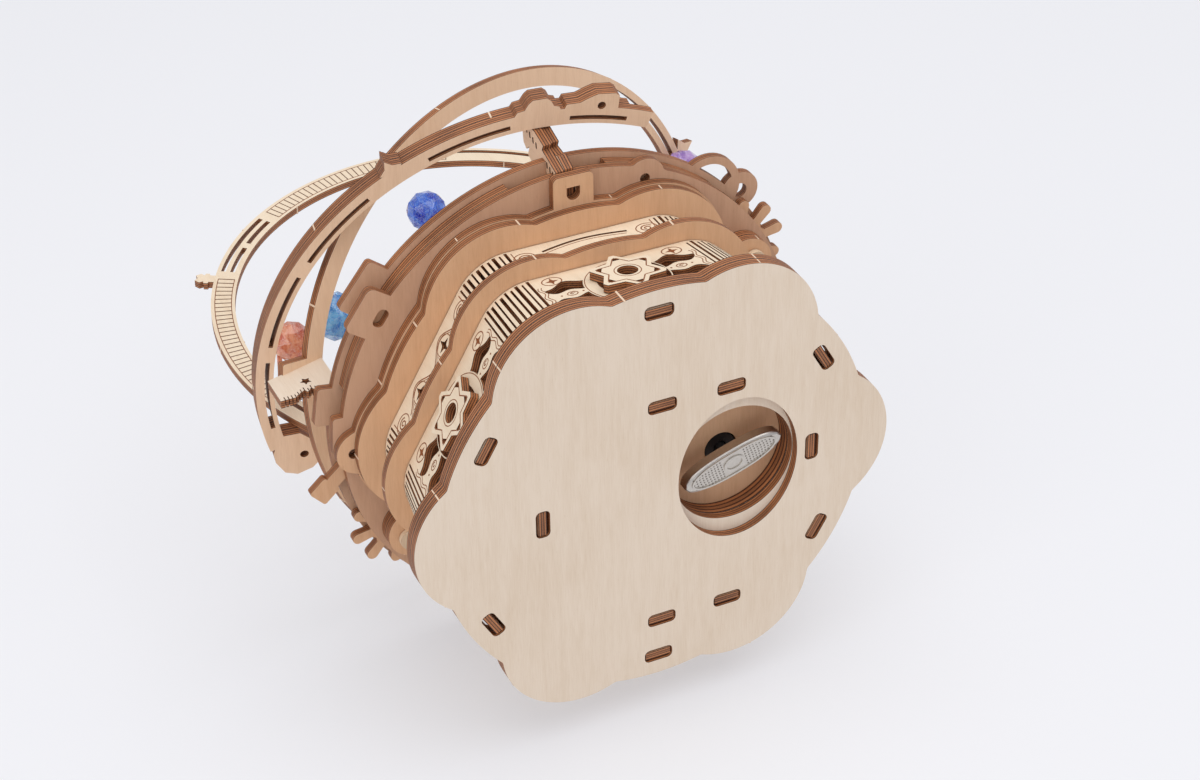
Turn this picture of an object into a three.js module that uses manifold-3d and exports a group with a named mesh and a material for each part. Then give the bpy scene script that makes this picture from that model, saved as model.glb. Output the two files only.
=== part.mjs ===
import * as THREE from "three";
import { mergeVertices } from "three/addons/utils/BufferGeometryUtils.js";
import Module from "manifold-3d";

// Hand-wound music box of laser-cut plywood with an armillary sphere on top.
// Millimetres, +Z up, origin at the middle of the underside.

const deg = Math.PI / 180;

// Sheet stock
const sheet = 2.7;
const seam = 0.3;
const board = sheet - seam;
const overrun = 2;
const weldShare = 0.001;
const coarseArc = 8;
const roundArc = 14;
const bandArc = 24;
const ringArc = 40;

// Hexagonal outline with a round lobe at each corner
const outlineSteps = 78;
const arcFacetAngle = 5;
const sides = 6;
const lobeRadius = 24;
const baseSide = 64;
const baseTip = 71;
const midSide = 60;
const midTip = 66.6;
const wingPlateSide = 61.3;
const wingPlateTip = 67.8;
const lobePlateSide = 62;
const lobePlateTip = 68.3;
const roundPlateRadius = 70.3;
const topPlateRadius = 72;
const ringPlateBore = 46;

// Walls
const lowerWallHeight = 27;
const upperWallHeight = 14.7;
const lowerApothem = 58.55;
const lowerTopApothem = 55;
const upperApothem = 54;
const wallRound = 17;
const slitCount = 9;
const slitWidth = 0.8;
const slitMargin = 2.2;
const slitShift = 1.2;

// Fretwork and rosettes
const cloudLength = 14;
const cloudHeight = 4.6;
const cloudOut = 16;
const cloudApart = 8.4;
const cloudWaves = 3;
const cloudSteps = 10;
const cloudWaveShare = 0.3;
const cloudTaperShare = 0.22;
const starOuter = 11.4;
const starInner = 6.9;
const starHole = 3;
const starPoints = 6;
const starCutPoints = 4;
const crescentRadius = 12.3;
const crescentBite = 10.4;
const crescentShift = 1.5;
const starCutOuter = 3;
const starCutInner = 1.1;
const starCutOut = 17.5;

// Tabs and slots
const slotLength = 8.2;
const tabFit = 0.5;
const slotWidth = board + 2 * tabFit;
const slotCorner = 0.6;
const tabLength = slotLength - 2 * seam;
const tabRing = lowerApothem - board / 2;

// Inner ribs, placed by their slots in the base
const frontRibY = -27.6;
const backRibY = 44.7;
const rightRibX = 47.1;
const leftRibX = -34.3;
const frontRibLength = 66;
const backRibLength = 60;
const rightRibLength = 36;
const leftRibLength = 44;
const ribMiddleX = 11;
const ribTabNear = 1;
const ribTabFar = 21.6;

// Winding side
const arborX = 24.2;
const keyHoleRadiusX = 18.3;
const keyHoleRadiusY = 22.7;
const recessRadius = 18.2;
const recessWall = 3;
const recessDepth = 5.1;
const shaftHole = 5;
const keyLength = 30;
const keyWidth = 4.6;
const keyDepth = 4;
const keyRise = 2.5;
const keyAngle = -18;
const arborRadius = 1.6;

// Musical movement
const bedLeft = -25;
const bedRight = 41;
const bedHalfWidth = 23;
const bedThickness = 2.4;
const barrelRadius = 12;
const barrelHeight = 10.5;
const barrelLift = 1;
const geared = 2;
const toothModule = 1.2;
const barrelTeeth = 24;
const cylinderTeeth = 16;
const governorTeeth = 8;
const toothHalfShare = 0.55;
const dedendumShare = 1.2;
const addendumShare = 0.9;
const cylinderRadius = 6.2;
const cylinderHeight = 14.8;
const pivotRadius = 1.1;
const pinRows = 4;
const pinsPerRow = 3;
const pinStagger = 47;
const pinSize = 0.5;
const combTeeth = 18;
const combToothGap = 0.3;
const combReach = 15;
const combPlate = 1;
const combShortShare = 0.35;
const combGrowShare = 0.25;
const combBlockLength = 8;
const combBlockWidth = 6;
const fanLength = 8;
const fanHeight = 2.4;
const fanThickness = 0.8;

// Finger gears that turn the sky
const fingerTeeth = 10;
const ringTeeth = 42;
const fingerPitch = 12.1;
const fingerTip = 14.3;
const fingerRoot = 8;
const fingerHalf = 1.7;
const ringPitch = fingerPitch * ringTeeth / fingerTeeth;
const ringTip = ringPitch + 2.4;
const ringRoot = ringPitch - 3.2;
const ringToothHalf = 1.2;
const driveRise = 4;
const gearGap = 3.3;
const rotorRadius = 2.5;
const axleRadius = 2.1;
const axleHead = 3.2;
const axleHeadThickness = 1.5;
const sideGearAngles = [-30, 150];
const sideGearRing = ringPitch + fingerPitch;

// Lobes, wings and tabs of the upper plates
const wingRing = 60.7;
const wingRadius = 8;
const rearLobeRing = 66;
const rearLobeRadius = 7;
const rearLobeHole = 1.6;
const rearLobeHoleRing = 68;
const frontTabWidth = 12;
const frontTabReach = 71;
const frontTabHole = 2.4;
const frontTabHoleRing = 66;
const slotTabAngle = -145;
const slotTabWidth = 14;
const slotTabReach = 77;
const slotTabSlotRing = 69;
const slotTabSlotLength = 5.5;
const holeLobeAngle = -70;
const holeLobeRing = 67;
const holeLobeRadius = 6;
const holeLobeHole = 1.5;
const stepTabAngle = -176;
const stepTabWidth = 12;
const stepTabReach = 73;
const topTabAngle = -142;
const topTabWidth = 16;
const topTabReach = 78;
const footTabAngle = -171;
const footTabWidth = 12;
const footTabStand = 4;
const curlAngle = -40.5;
const curlRing = 73.5;
const curlRadius = 5.8;
const curlHole = 2.2;
const hookAngle = -48;
const hookRing = 68.5;
const hookRadius = 10;
const hookBand = 2.4;
const spacerWidth = 6;
const spacerArcs = [[22, 118], [-165, -104], [-80, -50]];

// Stop lever
const leverX = -64;
const leverY = 4;
const leverPin = 1.5;
const leverFit = 0.3;
const leverHub = 4;
const leverWidth = 4.4;
const leverLength = 15.5;
const leverStub = 6.4;
const leverAngle = 138;
const leverHubClear = 1;

// Upright graduated ring
const archRadius = 80.8;
const archBand = 7.4;
const archRise = 130;
const archBack = 9.6;
const archLean = 5.1;
const cutSpan = 330;
const pointerAngle = 152;
const pointerLength = 6;
const pointerWidth = 5;
const archSlotWidth = 1.5;
const archOuterRowShare = 0.27;
const archInnerRowShare = 0.66;
const archOuterSlots = [[127, 149], [53, 71]];
const archInnerSlots = [[127, 137], [139, 149], [200, 213]];

// Horizon band of two plies
const bandRadius = 84;
const bandWidth = 5.2;
const bandRise = 80.5;
const bandTilt = 11;
const bandLow = -50;
const bandStart = -196;
const bandEnd = -68;
const bandSlotWidth = 1.3;
const bandSlotShare = 0.62;
const bandSlots = [[-190, -172], [-168, -150], [-146, -128], [-114, -97], [-85, -73]];
const gableAngle = -79;
const gableWidth = 17;
const gableStand = 4.5;
const gableReach = bandRadius + gableStand;
const gableHole = 1.2;
const bandStarAngle = -121;
const bandStarRadius = 3.6;
const finialPoints = 4;
const lugAngle = -199;
const lugInset = 8;
const lugRing = bandRadius - lugInset;
const lugRadius = 6.5;
const lugHole = 1.3;

// Tilted orbit ring
const orbitRadius = 76;
const orbitBand = 5.5;
const orbitRise = 98.8;
const orbitTilt = 17.7;
const orbitLow = 165;
const orbitSlotWidth = 1.4;
const orbitSlots = [[-62, -44], [-40, -26]];
const orbitStarAngle = -36;
const orbitStarRadius = 4.4;
const orbitFootReach = 84;
const orbitFootWidth = 9;

// Front arm and comb-edged foot plate
const armAngle = -91;
const armShares = [[0, 0], [0.29, 0], [0.45, 0.13], [0.83, 0.31], [1, 0.47], [1, 0.8], [0.88, 1],
  [0.68, 1], [0.54, 0.72], [0.2, 0.44], [0, 0.44]];
const armInner = 60;
const armReach = 29.5;
const armHeight = 21;
const armGapReach = 90;
const armRoomAngle = 12;
const armSlotShares = [[0.2, 0.19], [0.53, 0.47]];
const armSlotRow = 3;
const armSlotPitch = 2.1;
const armSlotLong = 2.2;
const armSlotWide = 0.9;
const footPlateHold = 5.5;
const footPlateInner = topPlateRadius - footPlateHold;
const footPlateOuter = orbitFootReach;
const footPlateY = -13;
const footPlateHeight = 13;
const footNotch = 1.6;
const footNotches = 5;
const footNotchShare = 0.25;

// Planets
const planetRise = 95;
const sunRadius = 9;
const hubRadius = 5;
const armWidth = 3;
const cobaltRadius = 5.9;
const skyBlueRadius = 7.2;
const emeraldRadius = 5.4;
const amberRadius = 4.8;
const planetArms = [
  { name: "cobalt", at: -121, ring: 52, bead: cobaltRadius },
  { name: "sky_blue", at: -151, ring: 51.5, bead: skyBlueRadius },
  { name: "emerald", at: 64, ring: 48, bead: emeraldRadius },
  { name: "amber", at: -14, ring: 42, bead: amberRadius },
];
const pegRadius = 0.8;
const orangeRadius = 6;
const orangeInset = 2.4;
const orangeRing = archRadius - archBand - orangeInset;
const orangeAngle = -160.7;
const orangeLift = 20.2;
const orangePegInset = 1.2;
const orangePegAngle = -162;
const lavenderRadius = 5.6;
const lavenderInset = 17.2;
const lavenderRing = bandRadius - lavenderInset;
const lavenderAngle = 152.1;
const purpleRadius = 5.8;
const purpleInset = 1;
const purpleRing = orbitRadius - orbitBand + purpleInset;
const purpleAngle = -21.5;

// Heights of the stacked layers
const linerZ = sheet;
const lowerWallZ = 2 * sheet;
const midZ = lowerWallZ + lowerWallHeight;
const upperWallZ = midZ + sheet;
const wingZ = upperWallZ + upperWallHeight;
const lobeZ = wingZ + sheet;
const roundZ = lobeZ + sheet;
const gearZ = roundZ + sheet;
const topZ = gearZ + gearGap;
const skyZ = topZ + sheet;
const recessFloorZ = lowerWallZ + recessDepth;
const bedZ = recessFloorZ + sheet;
const barrelZ = bedZ + bedThickness + barrelLift;
const gearTrainZ = barrelZ + barrelHeight;
const driveZ = upperWallZ + driveRise;

const wasm = await Module();
wasm.setup();

function solidOf(geometry) {
  const plain = geometry.clone();
  plain.deleteAttribute("normal");
  plain.deleteAttribute("uv");
  const merged = mergeVertices(plain, seam * weldShare);
  const mesh = new wasm.Mesh({
    numProp: 3,
    vertProperties: new Float32Array(merged.attributes.position.array),
    triVerts: new Uint32Array(merged.index.array),
  });
  mesh.merge();
  return new wasm.Manifold(mesh);
}

function geometryOf(solid) {
  const mesh = solid.getMesh();
  const geometry = new THREE.BufferGeometry();
  geometry.setAttribute("position", new THREE.BufferAttribute(new Float32Array(mesh.vertProperties), 3));
  geometry.setIndex(new THREE.BufferAttribute(new Uint32Array(mesh.triVerts), 1));
  return geometry;
}

function join(first, ...others) {
  return geometryOf(others.reduce((sum, next) => sum.add(solidOf(next)), solidOf(first)));
}

function cut(body, ...cutters) {
  return geometryOf(cutters.reduce((rest, next) => rest.subtract(solidOf(next)), solidOf(body)));
}

function polar(ring, angle) {
  return new THREE.Vector2(ring * Math.cos(angle * deg), ring * Math.sin(angle * deg));
}

function slab(shape, z, thickness = board, curveSegments = coarseArc) {
  const geometry = new THREE.ExtrudeGeometry(shape, { depth: thickness, bevelEnabled: false, curveSegments });
  return geometry.translate(0, 0, z);
}

function disc(x, y, radius) {
  return new THREE.Shape().absarc(x, y, radius, 0, 2 * Math.PI, false);
}

function pin(x, y, radius, z, height, segments = 20) {
  const geometry = new THREE.CylinderGeometry(radius, radius, height, segments);
  return geometry.rotateX(Math.PI / 2).translate(x, y, z + height / 2);
}

// A box that stands out from the axis, from one radius to another
function radialBar(from, to, width, angle, z, thickness = board) {
  const geometry = new THREE.BoxGeometry(to - from, width, thickness);
  return geometry.translate((from + to) / 2, 0, z + thickness / 2).rotateZ(angle * deg);
}

function slot(x, y, length, width, angle) {
  const along = polar(1, angle);
  const across = polar(1, angle + 90);
  const corners = [];
  for (const [end, side] of [[1, -1], [1, 1], [-1, 1], [-1, -1]]) {
    const straight = [[length / 2 - slotCorner, width / 2], [length / 2, width / 2 - slotCorner]];
    const order = end * side > 0 ? [straight[1], straight[0]] : straight;
    for (const [a, b] of order) {
      corners.push(new THREE.Vector2(x, y).addScaledVector(along, end * a).addScaledVector(across, side * b));
    }
  }
  return new THREE.Path(corners);
}

// Farthest point of a set of discs along each ray from the axis
function outline(discs) {
  const points = [];
  for (let step = 0; step < outlineSteps; step += 1) {
    const angle = (step / outlineSteps) * 2 * Math.PI;
    let reach = 0;
    for (const { at, ring, radius } of discs) {
      const turn = angle - at * deg;
      const half = radius ** 2 - (ring * Math.sin(turn)) ** 2;
      if (half >= 0) {
        reach = Math.max(reach, ring * Math.cos(turn) + Math.sqrt(half));
      }
    }
    points.push(new THREE.Vector2(reach * Math.cos(angle), reach * Math.sin(angle)));
  }
  return new THREE.Shape(points);
}

function lobedOutline(side, tip, extra = []) {
  const discs = [{ at: 0, ring: 0, radius: side }, ...extra];
  for (let corner = 0; corner < sides; corner += 1) {
    discs.push({ at: (corner * 360) / sides, ring: tip - lobeRadius, radius: lobeRadius });
  }
  return outline(discs);
}

// Hexagon with round corners, one flat facet for each hinge slit
function roundedHexagon(Kind, apothem, round) {
  const points = [];
  const ring = (apothem - round) / Math.cos(Math.PI / sides);
  for (let corner = 0; corner < sides; corner += 1) {
    const centre = polar(ring, (corner * 360) / sides);
    for (let facet = 0; facet <= slitCount; facet += 1) {
      const at = ((corner - 0.5 + facet / slitCount) * 360) / sides;
      points.push(polar(round, at).add(centre));
    }
  }
  return new Kind(points);
}

// Tooth profiles: a round-ended finger, and a wedge for the fine gears
function fingerProfile(foot, tip, half) {
  const bend = half * Math.SQRT1_2;
  return [[foot, -half], [tip - half, -half], [tip - half + bend, -bend], [tip, 0], [tip - half + bend, bend],
    [tip - half, half], [foot, half]];
}

function wedgeProfile(foot, tip, half) {
  return [[foot, -half], [tip, -half / 2], [tip, half / 2], [foot, half]];
}

function gearShape(teeth, root, tip, half, bore, profileOf = fingerProfile) {
  const points = [];
  for (let tooth = 0; tooth < teeth; tooth += 1) {
    const angle = (tooth * 360) / teeth;
    const along = polar(1, angle);
    const across = new THREE.Vector2(-along.y, along.x);
    const foot = Math.sqrt(root ** 2 - half ** 2);
    const profile = profileOf(foot, tip, half);
    for (const [out, aside] of profile) {
      points.push(new THREE.Vector2().addScaledVector(along, out).addScaledVector(across, aside));
    }
  }
  const shape = new THREE.Shape(points);
  shape.holes.push(disc(0, 0, bore));
  return shape;
}

function starShape(points, outer, inner) {
  const corners = [];
  for (let index = 0; index < 2 * points; index += 1) {
    corners.push(polar(index % 2 === 0 ? outer : inner, (index * 180) / points + 90));
  }
  return new THREE.Shape(corners);
}

// Band along an arc, as a shape or as the path of a slot
function arcBand(radius, width, start, end, Kind = THREE.Shape) {
  const facets = Math.ceil((end - start) / arcFacetAngle);
  const outer = [];
  const inner = [];
  for (let facet = 0; facet <= facets; facet += 1) {
    const at = start + ((end - start) * facet) / facets;
    outer.push(polar(radius, at));
    inner.unshift(polar(radius - width, at));
  }
  return new Kind([...outer, ...inner]);
}

// Lays a flat piece drawn round the origin into a tilted plane
function tilted(geometry, rise, tilt, low) {
  const turned = geometry.rotateZ(-low * deg).rotateY(tilt * deg).rotateZ(low * deg);
  return turned.translate(0, 0, rise);
}

// Sets a piece drawn in the XY plane on a wall panel, its face outwards
function onPanel(geometry, apothem, rise, angle, lean = 0) {
  const outward = new THREE.Vector3(Math.cos(angle * deg), Math.sin(angle * deg), 0);
  const along = new THREE.Vector3(-outward.y, outward.x, 0);
  const normal = outward.clone().multiplyScalar(Math.cos(lean)).setZ(Math.sin(lean));
  const up = new THREE.Vector3().crossVectors(normal, along);
  const place = new THREE.Matrix4().makeBasis(along, up, normal);
  place.setPosition(outward.x * apothem, outward.y * apothem, rise);
  return geometry.applyMatrix4(place);
}

const colours = {
  birch: { color: 0xd9b98c, roughness: 0.75, metalness: 0 },
  nickel: { color: 0xc9c9c6, roughness: 0.3, metalness: 1 },
  brass: { color: 0xc9a44c, roughness: 0.35, metalness: 1 },
  steel: { color: 0x9a9ca0, roughness: 0.35, metalness: 1 },
  cobalt: { color: 0x2c49d8, roughness: 0.15, metalness: 0 },
  sky_blue: { color: 0x5fa8ea, roughness: 0.15, metalness: 0 },
  emerald: { color: 0x3fae84, roughness: 0.15, metalness: 0 },
  amber: { color: 0xe0a83a, roughness: 0.15, metalness: 0 },
  orange: { color: 0xe8824f, roughness: 0.15, metalness: 0 },
  lavender: { color: 0xd8cdea, roughness: 0.15, metalness: 0 },
  purple: { color: 0xa88cd0, roughness: 0.15, metalness: 0 },
};

const musicBox = new THREE.Group();
musicBox.name = "music_box";

function add(name, geometry, colour = "birch") {
  const mesh = new THREE.Mesh(geometry, new THREE.MeshStandardMaterial(colours[colour]));
  mesh.name = name;
  musicBox.add(mesh);
}

// Base of two plies with tab slots and the key hole
function basePlate(z, keyHole) {
  const shape = lobedOutline(baseSide, baseTip);
  for (let panel = 0; panel < sides; panel += 1) {
    const at = (panel + 0.5) * (360 / sides);
    const centre = polar(tabRing, at);
    shape.holes.push(slot(centre.x, centre.y, slotLength, slotWidth, at + 90));
  }
  for (const x of [ribTabNear, ribTabFar]) {
    shape.holes.push(slot(x, frontRibY, slotLength, slotWidth, 0));
    shape.holes.push(slot(x, backRibY, slotLength, slotWidth, 0));
  }
  shape.holes.push(slot(rightRibX, 0, slotLength, slotWidth, 90));
  shape.holes.push(slot(leftRibX, 0, slotLength, slotWidth, 90));
  shape.holes.push(keyHole);
  return slab(shape, z, board, roundArc);
}
add("base_plate", basePlate(0, new THREE.Path().absellipse(arborX, 0, keyHoleRadiusX, keyHoleRadiusY,
  0, 2 * Math.PI, false, 0)));
add("base_liner", basePlate(linerZ, disc(arborX, 0, recessRadius)));

// Recess round the winding key
const recessRing = disc(arborX, 0, recessRadius + recessWall);
recessRing.holes.push(disc(arborX, 0, recessRadius));
add("recess_ring", slab(recessRing, lowerWallZ, recessDepth - seam, roundArc));
const recessFloor = disc(arborX, 0, recessRadius + recessWall);
recessFloor.holes.push(disc(arborX, 0, shaftHole));
add("recess_floor", slab(recessFloor, recessFloorZ));

// Ribs that stand in the base slots under the middle plate
function rib(length, middle, tabs) {
  const top = midZ - lowerWallZ - seam;
  const deep = lowerWallZ - seam;
  const left = middle - length / 2;
  const right = middle + length / 2;
  const points = [[left, 0]];
  for (const tab of tabs) {
    points.push([tab - tabLength / 2, 0], [tab - tabLength / 2, -deep]);
    points.push([tab + tabLength / 2, -deep], [tab + tabLength / 2, 0]);
  }
  points.push([right, 0], [right, top], [left, top]);
  const shape = new THREE.Shape(points.map(([x, y]) => new THREE.Vector2(x, y)));
  const geometry = new THREE.ExtrudeGeometry(shape, { depth: board, bevelEnabled: false });
  return geometry.translate(0, 0, -board / 2).rotateX(Math.PI / 2).translate(0, 0, lowerWallZ);
}
const ribTabs = [ribTabNear, ribTabFar];
add("rib_front", rib(frontRibLength, ribMiddleX, ribTabs).translate(0, frontRibY, 0));
add("rib_back", rib(backRibLength, 0, ribTabs).translate(0, backRibY, 0));
add("rib_right", rib(rightRibLength, 0, [0]).rotateZ(Math.PI / 2).translate(rightRibX, 0, 0));
add("rib_left", rib(leftRibLength, 0, [0]).rotateZ(Math.PI / 2).translate(leftRibX, 0, 0));

// Bent wall with hinge slits at every corner
function bentWall(apothem, height) {
  const shape = roundedHexagon(THREE.Shape, apothem, wallRound);
  shape.holes.push(roundedHexagon(THREE.Path, apothem - board, wallRound - board));
  return slab(shape, 0, height - seam);
}

function hingeSlits(apothem, height) {
  const slits = [];
  const ring = (apothem - wallRound) / Math.cos(Math.PI / sides);
  for (let corner = 0; corner < sides; corner += 1) {
    const at = (corner * 360) / sides;
    const centre = polar(ring, at);
    for (let index = 0; index < slitCount; index += 1) {
      const turn = at + ((index - (slitCount - 1) / 2) * 360) / sides / slitCount;
      const shift = index % 2 === 0 ? slitShift : -slitShift;
      const slit = new THREE.BoxGeometry(board + 2 * overrun, slitWidth, height - 2 * slitMargin - 2 * slitShift);
      slit.translate(wallRound - board / 2, 0, height / 2 + shift).rotateZ(turn * deg);
      slits.push(slit.translate(centre.x, centre.y, 0));
    }
  }
  return slits;
}

// Fretwork of the lower panels: two cloud openings on each side of the rosette
function cloud(x, y, flip) {
  const points = [];
  for (let step = 0; step < cloudSteps; step += 1) {
    const t = (step / cloudSteps) * 2 * Math.PI;
    const along = Math.cos(t);
    const wave = flip * cloudWaveShare * Math.cos(cloudWaves * along * Math.PI / 2);
    const wide = Math.sin(t) * (1 - cloudTaperShare * along * Math.sign(x));
    points.push(new THREE.Vector2(x + along * cloudLength / 2, y + (wide + wave) * cloudHeight / 2));
  }
  return new THREE.Shape(points);
}

function panelCutters(shapes, apothem, height) {
  const cutters = [];
  for (let panel = 0; panel < sides; panel += 1) {
    const at = (panel + 0.5) * (360 / sides);
    for (const shape of shapes) {
      const cutter = slab(shape, -board - overrun, board + 2 * overrun, 6);
      cutters.push(onPanel(cutter, apothem, height / 2, at));
    }
  }
  return cutters;
}

const clouds = [];
for (const side of [-1, 1]) {
  clouds.push(cloud(side * cloudOut, cloudApart / 2, 1), cloud(side * cloudOut, -cloudApart / 2, -1));
}
const wallTabs = [];
for (let panel = 0; panel < sides; panel += 1) {
  const at = (panel + 0.5) * (360 / sides);
  const deep = lowerWallZ - seam;
  const tab = radialBar(lowerApothem - board, lowerApothem, tabLength, at, -deep, deep + overrun);
  wallTabs.push(tab);
}
const lowerWall = cut(join(bentWall(lowerApothem, lowerWallHeight), ...wallTabs),
  ...hingeSlits(lowerApothem, lowerWallHeight), ...panelCutters(clouds, lowerApothem, lowerWallHeight));
// The lower wall leans inwards towards its top edge
const corners = lowerWall.attributes.position;
for (let index = 0; index < corners.count; index += 1) {
  const up = Math.max(0, corners.getZ(index));
  const draw = 1 - ((lowerApothem - lowerTopApothem) / lowerApothem) * (up / lowerWallHeight);
  corners.setXY(index, corners.getX(index) * draw, corners.getY(index) * draw);
}
add("lower_wall", lowerWall.translate(0, 0, lowerWallZ));

// Star rosette over a crescent on every lower panel
const wallLean = Math.atan((lowerApothem - lowerTopApothem) / lowerWallHeight);
for (let panel = 0; panel < sides; panel += 1) {
  const star = starShape(starPoints, starOuter, starInner);
  star.holes.push(disc(0, 0, starHole));
  const crescent = cut(slab(disc(0, 0, crescentRadius), 0),
    slab(disc(crescentShift, 0, crescentBite), -overrun, board + 2 * overrun));
  const rosette = join(slab(star, 0), crescent);
  const middle = (lowerApothem + lowerTopApothem) / 2;
  const out = middle + seam / Math.cos(wallLean);
  const at = (panel + 0.5) * (360 / sides);
  add(`rosette_${panel + 1}`, onPanel(rosette, out, lowerWallZ + lowerWallHeight / 2, at, wallLean));
}

// Middle plate, which also carries the upper ends of the shafts
const midShape = lobedOutline(midSide, midTip);
midShape.holes.push(disc(arborX, 0, arborRadius + seam), disc(0, 0, rotorRadius + seam));
add("middle_plate", slab(midShape, midZ));

// Upper wall with star cut-outs near both ends of each panel
const upperCuts = [];
for (const side of [-1, 1]) {
  const star = starShape(starCutPoints, starCutOuter, starCutInner);
  upperCuts.push(new THREE.Shape(star.getPoints().map((p) => new THREE.Vector2(p.x + side * starCutOut, p.y))));
}
add("upper_wall", cut(bentWall(upperApothem, upperWallHeight), ...hingeSlits(upperApothem, upperWallHeight),
  ...panelCutters(upperCuts, upperApothem, upperWallHeight)).translate(0, 0, upperWallZ));

// Three stacked plates with wings, lobes and tabs
const wings = sideGearAngles.map((at) => ({ at, ring: wingRing, radius: wingRadius }));
function axleHoles(shape) {
  for (const at of sideGearAngles) {
    const centre = polar(sideGearRing, at);
    shape.holes.push(disc(centre.x, centre.y, axleRadius + seam));
  }
}
const wingShape = lobedOutline(wingPlateSide, wingPlateTip, wings);
wingShape.holes.push(disc(0, 0, ringPlateBore));
axleHoles(wingShape);
add("wing_plate", slab(wingShape, wingZ));

const rearLobe = { at: 180, ring: rearLobeRing, radius: rearLobeRadius };
const lobeShape = lobedOutline(lobePlateSide, lobePlateTip, [...wings, rearLobe]);
const rearHole = polar(rearLobeHoleRing, rearLobe.at);
lobeShape.holes.push(disc(0, 0, ringPlateBore), disc(rearHole.x, rearHole.y, rearLobeHole));
axleHoles(lobeShape);
const frontHole = polar(frontTabHoleRing, -90);
const frontTab = radialBar(lobePlateSide - overrun, frontTabReach, frontTabWidth, -90, lobeZ);
add("lobe_plate", cut(join(slab(lobeShape, lobeZ), frontTab),
  pin(frontHole.x, frontHole.y, frontTabHole, lobeZ - overrun, board + 2 * overrun)));

// Round plate under the gears, with the lever's pin
const holeLobe = { at: holeLobeAngle, ring: holeLobeRing, radius: holeLobeRadius };
const roundShape = outline([{ at: 0, ring: 0, radius: roundPlateRadius }, holeLobe]);
const lobeHole = polar(holeLobeRing, holeLobeAngle);
roundShape.holes.push(disc(0, 0, rotorRadius + seam), disc(lobeHole.x, lobeHole.y, holeLobeHole));
const tabSlot = polar(slotTabSlotRing, slotTabAngle);
const tabSlotPath = slot(tabSlot.x, tabSlot.y, slotTabSlotLength, slotWidth, slotTabAngle + 90);
const tabSlotCut = slab(new THREE.Shape(tabSlotPath.getPoints()), roundZ - overrun, board + 2 * overrun);
axleHoles(roundShape);
const armGap = radialBar(armInner - seam, armGapReach, 2 * sheet + seam, armAngle,
  lobeZ + board, topZ);
add("round_plate", cut(join(slab(roundShape, roundZ),
  radialBar(roundPlateRadius - overrun, slotTabReach, slotTabWidth, slotTabAngle, roundZ),
  radialBar(roundPlateRadius - overrun, stepTabReach, stepTabWidth, stepTabAngle, roundZ),
  pin(leverX, leverY, leverPin, roundZ + board / 2, gearGap + board / 2 - 2 * seam)), armGap, tabSlotCut));

// Arc spacers that hold the top plate over the gears
for (const [index, [from, to]] of spacerArcs.entries()) {
  add(`spacer_${index + 1}`, slab(arcBand(roundPlateRadius, spacerWidth, from, to), gearZ, gearGap - seam));
}

// Top plate with its tabs and the curled ornament
const topShape = outline([{ at: 0, ring: 0, radius: topPlateRadius }]);
topShape.holes.push(disc(0, 0, hubRadius + sheet));
const curl = polar(curlRing, curlAngle);
const hook = polar(hookRing, hookAngle);
const topPlate = cut(join(slab(topShape, topZ), slab(disc(curl.x, curl.y, curlRadius), topZ),
  cut(slab(disc(hook.x, hook.y, hookRadius), topZ),
    slab(disc(hook.x, hook.y, hookRadius - hookBand), topZ - overrun, board + 2 * overrun)),
  radialBar(topPlateRadius - overrun, topTabReach, topTabWidth, topTabAngle, topZ),
  radialBar(topPlateRadius - overrun, topPlateRadius + footTabStand, footTabWidth, footTabAngle, topZ)),
pin(curl.x, curl.y, curlHole, topZ - overrun, board + 2 * overrun), armGap);
add("top_plate", topPlate);

// Winding key, arbor, spring barrel and drive pinion turn together
const keyShape = new THREE.Shape();
keyShape.moveTo(-keyLength / 2, 0);
keyShape.quadraticCurveTo(-keyLength / 4, -keyWidth / 2 - seam, 0, -keyWidth / 2);
keyShape.quadraticCurveTo(keyLength / 4, -keyWidth / 2 - seam, keyLength / 2, 0);
keyShape.quadraticCurveTo(keyLength / 4, keyWidth / 2 + seam, 0, keyWidth / 2);
keyShape.quadraticCurveTo(-keyLength / 4, keyWidth / 2 + seam, -keyLength / 2, 0);
add("winding_key", slab(keyShape, keyRise, keyDepth, 6).rotateZ(keyAngle * deg).translate(arborX, 0, 0), "nickel");
const arborZ = keyRise + keyDepth + seam;
add("winding_arbor", pin(arborX, 0, arborRadius, arborZ, driveZ + sheet - arborZ), "steel");

function smallGear(teeth, bore, z) {
  const pitch = (teeth * toothModule) / 2;
  const root = pitch - dedendumShare * toothModule;
  const tip = pitch + addendumShare * toothModule;
  return slab(gearShape(teeth, root, tip, toothHalfShare * toothModule, bore, wedgeProfile), z, geared);
}
const drum = disc(0, 0, barrelRadius);
drum.holes.push(disc(0, 0, arborRadius + seam));
add("spring_barrel", join(slab(drum, barrelZ, barrelHeight + seam, 10),
  smallGear(barrelTeeth, arborRadius + seam, gearTrainZ)).translate(arborX, 0, 0), "brass");

// Bed plate of the movement
const cylinderX = arborX - ((barrelTeeth + cylinderTeeth) * toothModule) / 2;
const governorY = ((barrelTeeth + governorTeeth) * toothModule) / 2;
const bed = new THREE.Shape([[bedLeft, -bedHalfWidth], [bedRight, -bedHalfWidth], [bedRight, bedHalfWidth],
  [bedLeft, bedHalfWidth]].map(([x, y]) => new THREE.Vector2(x, y)));
bed.holes.push(disc(arborX, 0, shaftHole), disc(cylinderX, 0, pivotRadius + seam),
  disc(arborX, governorY, pivotRadius + seam));
add("movement_bed", slab(bed, bedZ, bedThickness), "brass");

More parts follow.
